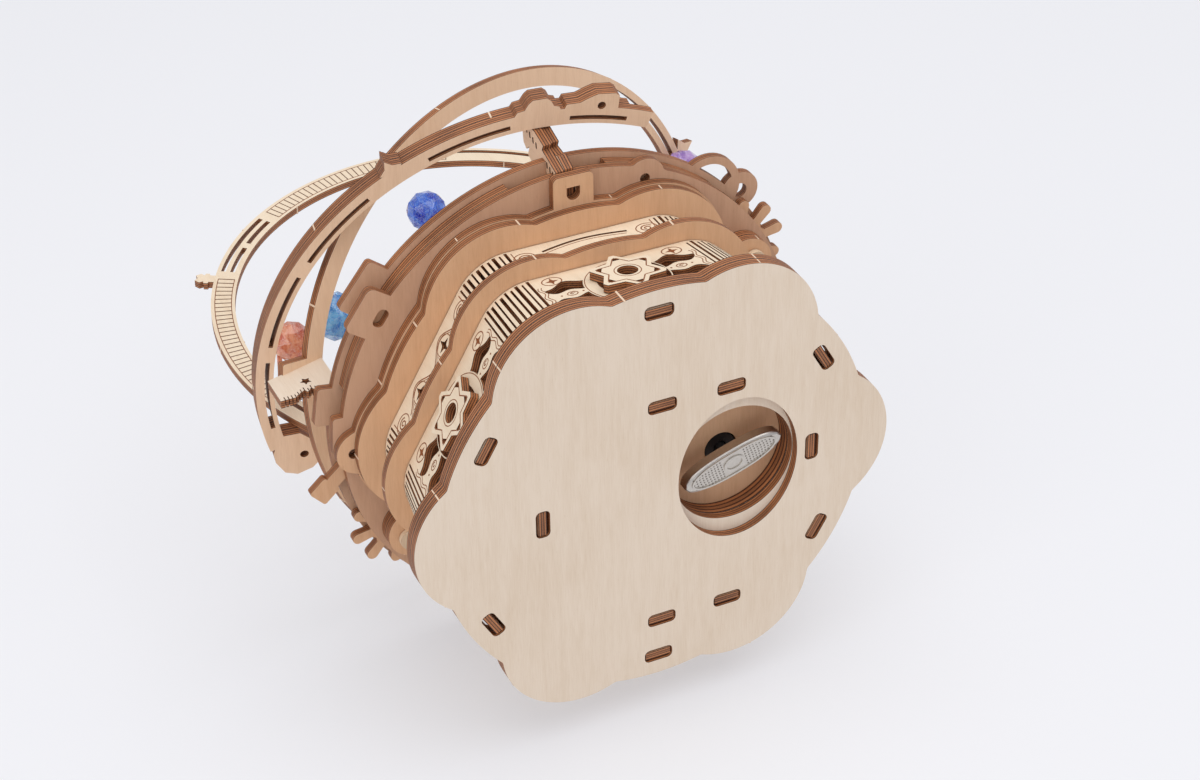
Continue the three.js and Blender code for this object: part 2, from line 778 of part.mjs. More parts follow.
// Pinned cylinder
const drumTurn = 0.5 * (360 / cylinderTeeth);
function pinnedCylinder() {
  const parts = [slab(disc(0, 0, cylinderRadius), barrelZ, cylinderHeight, 10),
    pin(0, 0, pivotRadius, bedZ, barrelZ + overrun - bedZ, 12)];
  for (let row = 0; row < pinRows; row += 1) {
    for (let column = 0; column < pinsPerRow; column += 1) {
      const stud = new THREE.BoxGeometry(2 * pinSize, pinSize, pinSize);
      const rise = barrelZ + ((row + 1) * barrelHeight) / (pinRows + 1);
      const turn = (column * 360) / pinsPerRow + row * pinStagger;
      parts.push(stud.translate(cylinderRadius, 0, rise).rotateZ(turn * deg));
    }
  }
  const gear = smallGear(cylinderTeeth, pivotRadius, gearTrainZ);
  return join(...parts, gear.rotateZ(drumTurn * deg)).translate(cylinderX, 0, 0);
}
add("pinned_cylinder", pinnedCylinder(), "brass");

// Comb with tuned teeth beside the cylinder, on its block
const combX = cylinderX - cylinderRadius - 2 * pinSize;
const combPitch = barrelHeight / combTeeth;
const combPoints = [[-combReach, 0]];
for (let tooth = 0; tooth < combTeeth; tooth += 1) {
  const rise = tooth * combPitch;
  const reach = combReach * (combShortShare + combGrowShare * (tooth / combTeeth));
  combPoints.push([0, rise], [0, rise + combPitch - combToothGap]);
  if (tooth < combTeeth - 1) {
    combPoints.push([-reach, rise + combPitch - combToothGap], [-reach, rise + combPitch]);
  }
}
combPoints.push([-combReach, barrelHeight - combToothGap]);
const combShape = new THREE.Shape(combPoints.map(([x, y]) => new THREE.Vector2(x, y)));
const comb = new THREE.ExtrudeGeometry(combShape, { depth: combPlate, bevelEnabled: false });
add("comb", comb.translate(0, 0, -combPlate / 2).rotateX(Math.PI / 2).translate(combX - seam, 0, barrelZ), "steel");
const block = new THREE.BoxGeometry(combBlockLength, combBlockWidth, barrelHeight + barrelLift - seam);
add("comb_block", block.translate(combX - combReach + combBlockLength / 2 - seam,
  combBlockWidth / 2 + combPlate / 2 + seam, bedZ + bedThickness + seam
  + (barrelHeight + barrelLift - seam) / 2), "brass");

// Governor with its fan
const governorTurn = 0.5 * (360 / governorTeeth);
const fanZ = gearTrainZ + geared;
add("governor", join(smallGear(governorTeeth, pivotRadius / 2, gearTrainZ).rotateZ(governorTurn * deg),
  pin(0, 0, pivotRadius, bedZ, fanZ + overrun - bedZ, 12),
  new THREE.BoxGeometry(fanLength, fanThickness, fanHeight).translate(0, 0, fanZ + seam + fanHeight / 2))
  .translate(arborX, governorY, 0), "brass");

// Drive pinion and the gears of the sky
function pinion(bore) {
  return slab(gearShape(fingerTeeth, fingerRoot, fingerTip, fingerHalf, bore, wedgeProfile), driveZ);
}
add("drive_pinion", pinion(arborRadius + seam).translate(arborX, 0, 0));
const halfTooth = 180 / fingerTeeth;
add("centre_pinion", pinion(rotorRadius + seam).rotateZ(halfTooth * deg));
const rotorFoot = midZ;
const hubZ = planetRise - board / 2;
add("rotor_shaft", pin(0, 0, rotorRadius, rotorFoot, hubZ - seam - rotorFoot, 24), "steel");
const ringTurn = sideGearAngles[0];
add("sky_gear", slab(gearShape(ringTeeth, ringRoot, ringTip, ringToothHalf, rotorRadius + seam, wedgeProfile),
  gearZ + seam)
  .rotateZ(ringTurn * deg));
for (const [index, at] of sideGearAngles.entries()) {
  const side = ["right", "left"][index];
  const centre = polar(sideGearRing, at);
  const gear = slab(gearShape(fingerTeeth, fingerRoot, fingerTip, fingerHalf, axleRadius + seam), gearZ + seam);
  add(`side_gear_${side}`, gear.rotateZ((at + halfTooth) * deg).translate(centre.x, centre.y, 0));
  add(`side_axle_${side}`, join(
    pin(centre.x, centre.y, axleRadius, wingZ - axleHeadThickness, topZ - seam - wingZ + axleHeadThickness),
    pin(centre.x, centre.y, axleHead, wingZ - seam - axleHeadThickness, axleHeadThickness)));
}

// Stop lever
const leverShape = disc(0, 0, leverHub);
leverShape.holes.push(disc(0, 0, leverPin + leverFit));
const leverArm = new THREE.BoxGeometry(leverLength - leverPin - leverHubClear, leverWidth, board)
  .translate((leverLength + leverPin + leverHubClear) / 2 + leverFit, 0, board / 2 + gearZ + seam);
const leverEnd = new THREE.BoxGeometry(leverStub, leverStub, board)
  .translate(leverLength, 0, board / 2 + gearZ + seam);
add("stop_lever", join(slab(leverShape, gearZ + seam), leverArm, leverEnd)
  .rotateZ(leverAngle * deg).translate(leverX, leverY, 0));

// Upright graduated ring, standing in the top plate
function arcSlots(shape, radius, width, spans) {
  for (const [start, end] of spans) {
    shape.holes.push(arcBand(radius + width / 2, width, start, end, THREE.Path));
  }
}
const archShape = disc(0, 0, archRadius);
archShape.holes.push(disc(0, 0, archRadius - archBand));
arcSlots(archShape, archRadius - archOuterRowShare * archBand, archSlotWidth, archOuterSlots);
arcSlots(archShape, archRadius - archInnerRowShare * archBand, archSlotWidth, archInnerSlots);
const pointer = radialBar(archRadius - seam, archRadius + pointerLength, pointerWidth, pointerAngle, 0);
function onArch(geometry) {
  return geometry.rotateX(Math.PI / 2).translate(0, board, 0).rotateX(archLean * deg)
    .translate(0, archBack, archRise);
}
const archUp = onArch(join(slab(archShape, 0, board, ringArc), pointer));
const below = new THREE.BoxGeometry(cutSpan, cutSpan, cutSpan);
add("graduated_ring", cut(archUp, below.translate(0, 0, skyZ - cutSpan / 2)));
const archGrown = disc(0, 0, archRadius + seam);
archGrown.holes.push(disc(0, 0, archRadius - archBand - seam));
const archRoom = onArch(slab(archGrown, -seam, board + 2 * seam, ringArc));

// Horizon band of two plies with a gable, a star and a lug at the ring
function horizonPly(z) {
  const shape = arcBand(bandRadius, bandWidth, bandStart, bandEnd);
  arcSlots(shape, bandRadius - bandSlotShare * bandWidth, bandSlotWidth, bandSlots);
  const lug = polar(lugRing, lugAngle);
  const star = polar(bandRadius + seam, bandStarAngle);
  const starPlate = slab(starShape(finialPoints, bandStarRadius, bandStarRadius / 2), z).rotateZ(bandStarAngle * deg);
  const gable = polar(gableReach - gableWidth / 2, gableAngle);
  const gableTop = slab(disc(gable.x, gable.y, gableWidth / 2), z, board, 3);
  const inside = slab(disc(0, 0, bandRadius - bandWidth / 2), z - overrun, board + 2 * overrun, ringArc);
  const ply = join(slab(shape, z, board, bandArc), slab(disc(lug.x, lug.y, lugRadius), z),
    starPlate.translate(star.x, star.y, 0), cut(gableTop, inside));
  const gableEye = polar(gableReach - gableWidth / 4, gableAngle);
  return cut(ply, pin(lug.x, lug.y, lugHole, z - overrun, board + 2 * overrun, 12),
    pin(gableEye.x, gableEye.y, gableHole, z - overrun, board + 2 * overrun, 12));
}
function onBand(geometry) {
  return tilted(geometry, bandRise, bandTilt, bandLow);
}
add("horizon_band_lower", cut(onBand(horizonPly(0)), archRoom));
add("horizon_band_upper", cut(onBand(horizonPly(sheet)), archRoom));

// Front arm of two plies that clasps the horizon band
function armPly(aside) {
  const shape = new THREE.Shape(armShares.map(([out, up]) =>
    new THREE.Vector2(armInner + out * armReach, up * armHeight)));
  for (const [outShare, upShare] of armSlotShares) {
    for (let index = 0; index < armSlotRow; index += 1) {
      const out = armInner + outShare * armReach + index * armSlotPitch;
      const up = upShare * armHeight + (index * armSlotPitch) / 2;
      shape.holes.push(new THREE.Path([[0, 0], [armSlotWide, 0], [armSlotWide, armSlotLong], [0, armSlotLong]]
        .map(([x, y]) => new THREE.Vector2(out + x, up + y))));
    }
  }
  const ply = new THREE.ExtrudeGeometry(shape, { depth: board, bevelEnabled: false });
  return ply.rotateX(Math.PI / 2).translate(0, aside, roundZ).rotateZ(armAngle * deg);
}
const clasped = arcBand(bandRadius + seam, bandWidth + 2 * seam, armAngle - armRoomAngle, armAngle + armRoomAngle);
const bandRoom = onBand(slab(clasped, -seam, sheet + board + 2 * seam));
add("front_arm_left", cut(armPly(-seam / 2), bandRoom));
add("front_arm_right", cut(armPly(sheet - seam / 2), bandRoom));

// Tilted orbit ring with its foot and star finial
const orbitShape = disc(0, 0, orbitRadius);
orbitShape.holes.push(disc(0, 0, orbitRadius - orbitBand));
arcSlots(orbitShape, orbitRadius - orbitBand / 2, orbitSlotWidth, orbitSlots);
const orbitStar = polar(orbitRadius + seam, orbitStarAngle);
const orbitFlat = join(slab(orbitShape, 0, board, ringArc),
  slab(starShape(finialPoints, orbitStarRadius, orbitStarRadius / 2), 0).rotateZ(orbitStarAngle * deg)
    .translate(orbitStar.x, orbitStar.y, 0),
  radialBar(orbitRadius - overrun, orbitFootReach, orbitFootWidth, footTabAngle, 0));
function onOrbit(geometry) {
  return tilted(geometry, orbitRise, orbitTilt, orbitLow);
}
add("orbit_ring", cut(onOrbit(orbitFlat), archRoom));

// Foot plate with a notched lower edge that carries the orbit ring
const notches = [[footPlateOuter, 0]];
const footSpan = footPlateOuter - footPlateInner;
for (let index = 0; index < footNotches; index += 1) {
  const from = footPlateOuter - ((index + footNotchShare) * footSpan) / footNotches;
  const to = from - footSpan / footNotches / 2;
  notches.push([from, 0], [from, footNotch], [to, footNotch], [to, 0]);
}
const footTop = footPlateHeight + overrun;
notches.push([footPlateInner, 0], [footPlateInner, footTop], [footPlateOuter, footTop]);
const footShape = new THREE.Shape(notches.map(([x, y]) => new THREE.Vector2(-x, y)));
const footFlat = new THREE.ExtrudeGeometry(footShape, { depth: board, bevelEnabled: false });
const orbitRoom = onOrbit(slab(disc(0, 0, orbitFootReach + overrun), -seam, orbitRise, bandArc));
add("foot_plate", cut(footFlat.rotateX(Math.PI / 2).translate(0, footPlateY, skyZ), orbitRoom));

// Three beads fixed to the rings, two of them on short pegs
function beadAt(radius, ring, angle, z) {
  const centre = polar(ring, angle);
  return new THREE.IcosahedronGeometry(radius, 1).translate(centre.x, centre.y, z);
}
const orangePeg = polar(archRadius - archBand + orangePegInset, orangePegAngle);
add("bead_orange", onArch(join(beadAt(orangeRadius, orangeRing, orangeAngle, orangeLift),
  pin(orangePeg.x, orangePeg.y, pegRadius, board + seam, orangeLift - board - seam, coarseArc))), "orange");
const lugCentre = polar(lugRing, lugAngle);
const fromLug = polar(lavenderRing, lavenderAngle).sub(lugCentre);
const lavenderPeg = radialBar(lugRadius + seam, fromLug.length(), 2 * pegRadius, fromLug.angle() / deg,
  sheet - seam / 2 - pegRadius, 2 * pegRadius).translate(lugCentre.x, lugCentre.y, 0);
add("bead_lavender", onBand(join(beadAt(lavenderRadius, lavenderRing, lavenderAngle, sheet - seam / 2),
  lavenderPeg)), "lavender");
add("bead_purple", onOrbit(beadAt(purpleRadius, purpleRing, purpleAngle, -purpleRadius - seam)), "purple");

// Rotating planets on flat arms round the sun
const hub = disc(0, 0, hubRadius);
const arms = planetArms.map(({ at, ring, bead }) => radialBar(0, ring - bead - seam, armWidth, at, hubZ));
add("planet_arms", join(slab(hub, hubZ), ...arms));
const sun = new THREE.IcosahedronGeometry(sunRadius, 2).translate(0, 0, hubZ + sheet + sunRadius);
add("sun", sun, "amber");
for (const { name, at, ring, bead } of planetArms) {
  add(`planet_${name}`, beadAt(bead, ring, at, planetRise), name);
}

export default musicBox;
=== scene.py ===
import math

import bpy
from mathutils import Matrix, Vector
from mathutils.geometry import delaunay_2d_cdt


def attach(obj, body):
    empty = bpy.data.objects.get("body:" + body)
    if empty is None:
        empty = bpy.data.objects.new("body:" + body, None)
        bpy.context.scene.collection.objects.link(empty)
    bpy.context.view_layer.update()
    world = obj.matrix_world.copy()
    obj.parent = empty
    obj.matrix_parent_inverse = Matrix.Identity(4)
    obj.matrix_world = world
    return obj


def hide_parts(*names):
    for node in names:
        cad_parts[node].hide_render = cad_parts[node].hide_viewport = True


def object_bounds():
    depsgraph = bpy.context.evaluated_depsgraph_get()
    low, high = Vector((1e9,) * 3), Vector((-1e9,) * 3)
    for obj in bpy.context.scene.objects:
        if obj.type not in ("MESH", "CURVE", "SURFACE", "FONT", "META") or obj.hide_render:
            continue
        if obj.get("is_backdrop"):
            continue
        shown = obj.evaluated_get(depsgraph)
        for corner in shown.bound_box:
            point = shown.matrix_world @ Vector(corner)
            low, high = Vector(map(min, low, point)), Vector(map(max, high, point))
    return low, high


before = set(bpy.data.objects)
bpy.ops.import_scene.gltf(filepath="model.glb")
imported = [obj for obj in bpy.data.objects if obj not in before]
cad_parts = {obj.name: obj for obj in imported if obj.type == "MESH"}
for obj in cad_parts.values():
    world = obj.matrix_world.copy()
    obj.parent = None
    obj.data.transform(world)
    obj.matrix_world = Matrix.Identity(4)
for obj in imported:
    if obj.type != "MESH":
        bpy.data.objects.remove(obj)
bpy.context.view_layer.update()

mm = 0.001
print("frame:", len(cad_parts), "nodes")


# Small helpers for trees: what goes into a socket is a value, a colour or another node's socket
def put(tree, socket, value):
    if isinstance(value, bpy.types.NodeSocket):
        tree.links.new(value, socket)
    elif socket.type == "RGBA" and len(value) == 3:
        socket.default_value = (*value, 1.0)
    else:
        socket.default_value = value


def addNode(tree, kind, feeds=None, **values):
    node = tree.nodes.new(kind)
    for key, value in values.items():
        setattr(node, key, value)
    for name, value in (feeds or {}).items():
        put(tree, node.inputs[name], value)
    return node


def mathNode(tree, operation, *terms):
    return addNode(tree, "ShaderNodeMath", dict(enumerate(terms)), operation=operation).outputs[0]


def mixColour(tree, factor, a, b):
    return addNode(tree, "ShaderNodeMix", {0: factor, 6: a, 7: b}, data_type="RGBA").outputs[2]


def noiseNode(tree, vector, scale, detail=2, extra=None, **values):
    feeds = {"Vector": vector, "Scale": scale, "Detail": detail, **(extra or {})}
    return addNode(tree, "ShaderNodeTexNoise", feeds, **values).outputs[0]


def stretched(tree, vector, scale, turn=(0, 0, 0)):
    return addNode(tree, "ShaderNodeMapping", {"Vector": vector, "Scale": scale, "Rotation": turn}).outputs[0]


def ramp(tree, value, start, end):
    return addNode(tree, "ShaderNodeMapRange", {"Value": value, "From Min": start, "From Max": end}).outputs[0]


# Sum of (source - middle) * weight
def weighted(tree, *terms):
    total = None
    for source, middle, weight in terms:
        term = mathNode(tree, "MULTIPLY", mathNode(tree, "SUBTRACT", source, middle), weight)
        total = term if total is None else mathNode(tree, "ADD", total, term)
    return total


def newTree(name, kind, inputs, outputs):
    tree = bpy.data.node_groups.new(name, kind)
    for way, sockets in (("INPUT", inputs), ("OUTPUT", outputs)):
        for label, holds in sockets.items():
            tree.interface.new_socket(name=label, in_out=way, socket_type="NodeSocket" + holds)
    return tree, addNode(tree, "NodeGroupInput").outputs, addNode(tree, "NodeGroupOutput").inputs


def linear(red, green, blue):
    return tuple(((v / 255 + 0.055) / 1.055) ** 2.4 if v > 10 else v / 255 / 12.92 for v in (red, green, blue))


# Fine grain of rotary-cut birch: long fibres, short pores, slow tone changes and a broad swirl
grain = {"fibres": (3000, 170, 3000), "pores": (4200, 700, 4200), "poreEdge": (0.66, 0.74), "slow": 22,
         "swirl": (420, 40, 420), "swirlBend": 0.6, "poreDepth": 0.6, "rough": (0.55, 0.16)}


def grainGroup():
    tree, taken, given = newTree(
        "birchGrain", "ShaderNodeTree", {"Vector": "Vector", "Pale": "Color", "Dark": "Color"},
        {"Color": "Color", "Height": "Float", "Rough": "Float"})
    at = taken["Vector"]
    fibre = noiseNode(tree, stretched(tree, at, grain["fibres"]), 1, 3)
    pores = ramp(tree, noiseNode(tree, stretched(tree, at, grain["pores"]), 1), *grain["poreEdge"])
    slow = noiseNode(tree, at, grain["slow"])
    swirl = noiseNode(tree, stretched(tree, at, grain["swirl"]), 1, 4, {"Distortion": grain["swirlBend"]})
    tone = weighted(tree, (fibre, 0.5, 0.5), (swirl, 0.4, 0.5), (slow, 0.4, 0.55), (pores, 0, 0.3))
    put(tree, given["Color"], mixColour(tree, tone, taken["Pale"], taken["Dark"]))
    pits = mathNode(tree, "MULTIPLY", pores, grain["poreDepth"])
    put(tree, given["Height"], mathNode(tree, "SUBTRACT", fibre, pits))
    least, swing = grain["rough"]
    put(tree, given["Rough"], mathNode(tree, "ADD", mathNode(tree, "MULTIPLY", fibre, swing), least))
    return tree


# Laser-burnt edge of three plies: glue lines, scorched streaks, dark rims and a darker middle ply
burn = {"fine": 260, "wander": 5.0, "rough": 0.62, "broad": 70, "ply": 0.1667, "line": 0.075, "rim": (0.36, 0.5),
        "middle": (0.2, 0.15)}


def edgeGroup():
    tree, taken, given = newTree(
        "burntPly", "ShaderNodeTree", {"Vector": "Vector", "Depth": "Float", "Light": "Color", "Burnt": "Color"},
        {"Color": "Color", "Height": "Float"})
    at, depth = taken["Vector"], taken["Depth"]
    streaks = {"Roughness": burn["rough"], "W": mathNode(tree, "MULTIPLY", depth, burn["wander"])}
    fine = noiseNode(tree, at, burn["fine"], 5, streaks, noise_dimensions="4D")
    broad = noiseNode(tree, at, burn["broad"])
    thirds = mathNode(tree, "PINGPONG", mathNode(tree, "ADD", depth, burn["ply"]), burn["ply"])
    inward = mathNode(tree, "ABSOLUTE", mathNode(tree, "SUBTRACT", thirds, burn["ply"]))
    glue = ramp(tree, inward, burn["line"], 0.0)
    outward = mathNode(tree, "ABSOLUTE", mathNode(tree, "SUBTRACT", depth, 0.5))
    scorch = weighted(tree, (fine, 0.43, 2.8), (broad, 0.4, 0.7), (glue, 0, 0.9),
                      (ramp(tree, outward, *burn["rim"]), 0, 1.15),
                      (ramp(tree, outward, *burn["middle"]), 0, 0.24))
    put(tree, given["Color"], mixColour(tree, scorch, taken["Light"], taken["Burnt"]))
    put(tree, given["Height"], mathNode(tree, "SUBTRACT", fine, glue))
    return tree


birchGrain = grainGroup()
burntPly = edgeGroup()


def newMaterial(name):
    material = bpy.data.materials.new(name)
    material.use_nodes = True
    return material, material.node_tree, addNode(material.node_tree, "ShaderNodeTexCoord").outputs


def finish(material, looks, height=None, strength=0.0, depth=0.0):
    tree = material.node_tree
    shader = tree.nodes["Principled BSDF"]
    for name, value in looks.items():
        put(tree, shader.inputs[name], value)
    if height is not None:
        bump = addNode(tree, "ShaderNodeBump", {"Height": height, "Strength": strength, "Distance": depth})
        put(tree, shader.inputs["Normal"], bump.outputs[0])
    return material


def faceMaterial(name, pale, dark, space="UV"):
    material, tree, source = newMaterial(name)
    feeds = {"Vector": source[space], "Pale": linear(*pale), "Dark": linear(*dark)}
    wood = addNode(tree, "ShaderNodeGroup", feeds, node_tree=birchGrain).outputs
    looks = {"Base Color": wood["Color"], "Roughness": wood["Rough"], "Specular IOR Level": 0.3}
    return finish(material, looks, wood["Height"], 0.25, 0.00008)


def edgeMaterial(name, light, dark):
    material, tree, source = newMaterial(name)
    depth = addNode(tree, "ShaderNodeSeparateXYZ", {0: source["UV"]}).outputs["Y"]
    feeds = {"Vector": source["Object"], "Depth": depth, "Light": linear(*light), "Burnt": linear(*dark)}
    ply = addNode(tree, "ShaderNodeGroup", feeds, node_tree=burntPly).outputs
    return finish(material, {"Base Color": ply["Color"], "Roughness": 0.62}, ply["Height"], 0.4, 0.0001)


def markMaterial(name, colour, dark):
    material, tree, source = newMaterial(name)
    speckle = noiseNode(tree, source["Object"], 900, 3)
    tone = mixColour(tree, speckle, linear(*dark), linear(*colour))
    return finish(material, {"Base Color": tone, "Roughness": 0.7})


woodTones = {
    "scorch": markMaterial("scorchedLine", (128, 84, 58), (70, 42, 28)),
    "torn": markMaterial("tornFibre", (244, 222, 196), (214, 180, 148)),
    "face": faceMaterial("birchFace", (232, 214, 193), (202, 174, 140)),
    "wall": faceMaterial("birchWallFace", (238, 219, 192), (204, 171, 132)),
    # Painted shade: a darker, warmer birch for undersides, inner wall faces, recess floors and parts set between
    # plates
    "deep": faceMaterial("birchUndersidePaintedShade", (224, 180, 141), (184, 130, 90)),
    # Painted shade, darker still, for the undersides of the round and top plates
    "shade": faceMaterial("birchDarkerPaintedShade", (206, 164, 133), (166, 120, 88)),
    "warm": faceMaterial("birchRing", (238, 204, 172), (200, 156, 116)),
    "plain": faceMaterial("birchPlain", (222, 198, 168), (176, 140, 104), "Object"),
    "edge": edgeMaterial("burntEdge", (206, 134, 84), (46, 20, 9)),
    "line": markMaterial("burntLine", (158, 92, 48), (104, 54, 22)),
}

# A sheet's tones: its upper or outer face, its other face and its edge. The deep and shade tones are darker copies of
# the birch, painted shade for undersides, inner wall faces, recess floors and parts set between plates or behind walls
underPaintedShade, underDarkerPaintedShade, warmSheet = ("face", "deep", "edge"), ("face", "shade", "edge"), ("warm", "warm", "edge")
paintedShadeSheet, wallSheet, wallOverPaintedShade = ("deep", "deep", "edge"), ("wall", "wall", "edge"), ("wall", "deep", "edge")


def metalMaterial(name, colour, rough, scratch, metallic=1.0):
    material, tree, source = newMaterial(name)
    bright = linear(*colour)
    scratches = noiseNode(tree, source["Object"], scratch, 5)
    spread = mathNode(tree, "ADD", mathNode(tree, "MULTIPLY", scratches, 0.25), rough - 0.1)
    tone = mixColour(tree, scratches, tuple(v * 0.72 for v in bright), bright)
    looks = {"Base Color": tone, "Roughness": spread, "Metallic": metallic}
    return finish(material, looks, scratches, 0.15, 0.00005)


metals = {
    "nickel": metalMaterial("stampedNickel", (214, 208, 200), 0.34, 900),
    "steel": metalMaterial("plainSteel", (150, 150, 152), 0.4, 700),
    "brass": metalMaterial("machinedBrass", (206, 170, 92), 0.36, 800),
    # Near-black steel for the shaft collar: painted shade of the shaft hole
    "collarPaintedShade": metalMaterial("collarPaintedShadeSteel", (46, 40, 38), 0.5, 600, 0.4),
    # Darker metal for the key's dots: painted shade of its dimples
    "keyDotPaintedShade": metalMaterial("stampedDotPaintedShade", (150, 142, 134), 0.5, 900),
}

# Crackled acrylic: clear colour with long inner streaks, short pale fissures and dark depths
crackle = {"turn": (0.6, 0.4, 0.2), "stretch": (1, 0.8, 0.22), "cloud": 420, "cloudEdge": (0.36, 0.6),
           "fissure": 900, "fissureEdge": (0.035, 0.0), "fissureTone": 0.7}
acrylic = {"Roughness": 0.08, "Transmission Weight": 0.4, "IOR": 1.49, "Coat Weight": 0.6}


def beadMaterial(name, colour, deep, pale):
    material, tree, source = newMaterial(name)
    inner = stretched(tree, source["Object"], crackle["stretch"], crackle["turn"])
    cloud = noiseNode(tree, inner, crackle["cloud"], 5, {"Distortion": 1.2})
    fissure = noiseNode(tree, inner, crackle["fissure"], 2, {"Distortion": 2.5})
    ridge = mathNode(tree, "ABSOLUTE", mathNode(tree, "SUBTRACT", fissure, 0.5))
    crack = mathNode(tree, "MULTIPLY", ramp(tree, ridge, *crackle["fissureEdge"]), crackle["fissureTone"])
    body = mixColour(tree, ramp(tree, cloud, *crackle["cloudEdge"]), linear(*deep), linear(*colour))
    tone = mixColour(tree, crack, body, linear(*pale))
    return finish(material, {"Base Color": tone, **acrylic}, cloud, 0.15, 0.0004)


beads = {
    "cobalt": beadMaterial("crackledCobalt", (84, 140, 250), (20, 48, 196), (206, 226, 255)),
    "sky_blue": beadMaterial("crackledSky", (126, 204, 250), (30, 124, 214), (232, 246, 255)),
    "emerald": beadMaterial("crackledEmerald", (76, 190, 140), (16, 90, 70), (210, 245, 225)),
    "amber": beadMaterial("crackledAmber", (236, 178, 70), (150, 84, 20), (255, 234, 190)),
    "orange": beadMaterial("crackledOrange", (250, 168, 126), (214, 100, 64), (255, 226, 206)),
    "lavender": beadMaterial("crackledLavender", (238, 222, 246), (196, 168, 222), (252, 248, 255)),
    "purple": beadMaterial("crackledPurple", (206, 168, 232), (136, 92, 184), (246, 234, 255)),
}
print("materials:", len(bpy.data.materials))


# Outlines, all in millimetres and degrees
def polar(ring, angle):
    turn = math.radians(angle)
    return Vector((ring * math.cos(turn), ring * math.sin(turn)))


def polarLoop(points):
    return [polar(ring, angle) for angle, ring in points]


def ccw(loop, points=None):
    seen = [points[index] for index in loop] if points else list(loop)
    area = sum(a[0] * b[1] - b[0] * a[1] for a, b in zip(seen, seen[1:] + seen[:1]))
    return list(loop) if area > 0 else list(loop)[::-1]


def moved(loop, x, y, turn=0):
    spin = Matrix.Rotation(math.radians(turn), 2)
    return [spin @ Vector(p) + Vector((x, y)) for p in loop]


def ovalLoop(x, y, radiusX, radiusY=None, steps=48):
    radiusY = radiusY or radiusX
    turns = [2 * math.pi * i / steps for i in range(steps)]
    return [Vector((x + radiusX * math.cos(turn), y + radiusY * math.sin(turn))) for turn in turns]


def boxLoop(left, low, right, high):
    return [(left, low), (right, low), (right, high), (left, high)]


def roundedBox(width, height, corner, steps=5):
    loop = []
    for index, (sideX, sideY) in enumerate(((1, 1), (-1, 1), (-1, -1), (1, -1))):
        centre = Vector((sideX * (width / 2 - corner), sideY * (height / 2 - corner)))
        loop += [centre + polar(corner, 90 * index + 90 * step / steps) for step in range(steps + 1)]
    return loop


def slotLoop(x, y, length, width, angle, corner=1.5):
    return moved(roundedBox(length, width, corner), x, y, angle)


def arcLoop(radius, width, start, end, step=1.5):
    count = max(2, math.ceil(abs(end - start) / step))
    angles = [start + (end - start) * i / count for i in range(count + 1)]
    return [polar(radius, a) for a in angles] + [polar(radius - width, a) for a in reversed(angles)]


def barLoop(near, far, width, angle, corner=0.0):
    if corner:
        return moved(roundedBox(far - near, width, corner), *polar((near + far) / 2, angle), angle)
    return moved(boxLoop(near, -width / 2, far, width / 2), 0, 0, angle)


# Outline round a set of discs, each given as its angle, its distance from the middle and its radius
def outlineLoop(discs):
    steps = 540
    loop = []
    for step in range(steps):
        angle = 2 * math.pi * step / steps
        reach = 0
        for at, ring, radius in discs:
            turn = angle - math.radians(at)
            half = radius ** 2 - (ring * math.sin(turn)) ** 2
            if half >= 0:
                reach = max(reach, ring * math.cos(turn) + math.sqrt(half))
        loop.append(Vector((reach * math.cos(angle), reach * math.sin(angle))))
    return loop


def lobedDiscs(side, tip, extra=()):
    lobe = 24
    return [(0, 0, side), *extra, *[(60 * corner, tip - lobe, lobe) for corner in range(6)]]


def starLoop(points, outer, inner, x=0, y=0, turn=90, flat=0.0):
    loop = []
    for index in range(points):
        at = turn + 360 * index / points
        side = polar(flat / 2, at + 90)
        loop += [polar(outer, at) - side, polar(outer, at) + side] if flat else [polar(outer, at)]
        loop.append(polar(inner, at + 180 / points))
    return moved(loop, x, y)


def fingerGear(teeth, root, tip, half, phase=0):
    foot = math.sqrt(root ** 2 - (half * 1.15) ** 2)
    neck = [(foot, -half * 1.35), (foot + half * 0.5, -half * 0.86), (tip - half * 2.4, -half * 0.9)]
    loop = []
    for tooth in range(teeth):
        at = phase + 360 * tooth / teeth
        along, across = polar(1, at), polar(1, at + 90)
        loop += [along * out + across * aside for out, aside in neck]
        for step in range(9):
            turn = math.radians(-90 + 180 * step / 8)
            loop.append(along * (tip - half + half * math.cos(turn)) + across * half * math.sin(turn))
        loop += [along * out - across * aside for out, aside in reversed(neck)]
    return loop


def wedgeGear(teeth, root, tip, half, phase=0):
    foot = math.sqrt(root ** 2 - half ** 2)
    loop = []
    for tooth in range(teeth):
        along = polar(1, phase + 360 * tooth / teeth)
        across = Vector((-along.y, along.x))
        for out, aside in ((foot, -half), (tip, -half / 2), (tip, half / 2), (foot, half)):
            loop.append(along * out + across * aside)
    return loop


def ribbonLoop(points, width, tip=None):
    last = len(points) - 1
    taper = 0 if tip is None else tip - width
    left, right = [], []
    for index, point in enumerate(points):
        along = (Vector(points[min(last, index + 1)]) - Vector(points[max(0, index - 1)])).normalized()
        side = Vector((-along.y, along.x)) * (width + taper * index / last) / 2
        left.append(Vector(point) + side)
        right.append(Vector(point) - side)
    return right + left[::-1]


def curveLine(x, y, radiusX, radiusY, start, end, steps=14, shrink=0.0):
    line = []
    for step in range(steps + 1):
        share = step / steps
        turn = math.radians(start + (end - start) * share)
        line.append(Vector((x + radiusX * (1 - shrink * share) * math.cos(turn),
                            y + radiusY * (1 - shrink * share) * math.sin(turn))))
    return line


# A ring-shaped line is two half ribbons, so that no outline has a hole
def ringLines(x, y, radiusX, radiusY, width, steps=18):
    return [ribbonLoop(curveLine(x, y, radiusX, radiusY, start, start + 180, steps), width) for start in (0, 180)]


def rotation(angle, axis):
    return Matrix.Rotation(math.radians(angle), 4, axis)


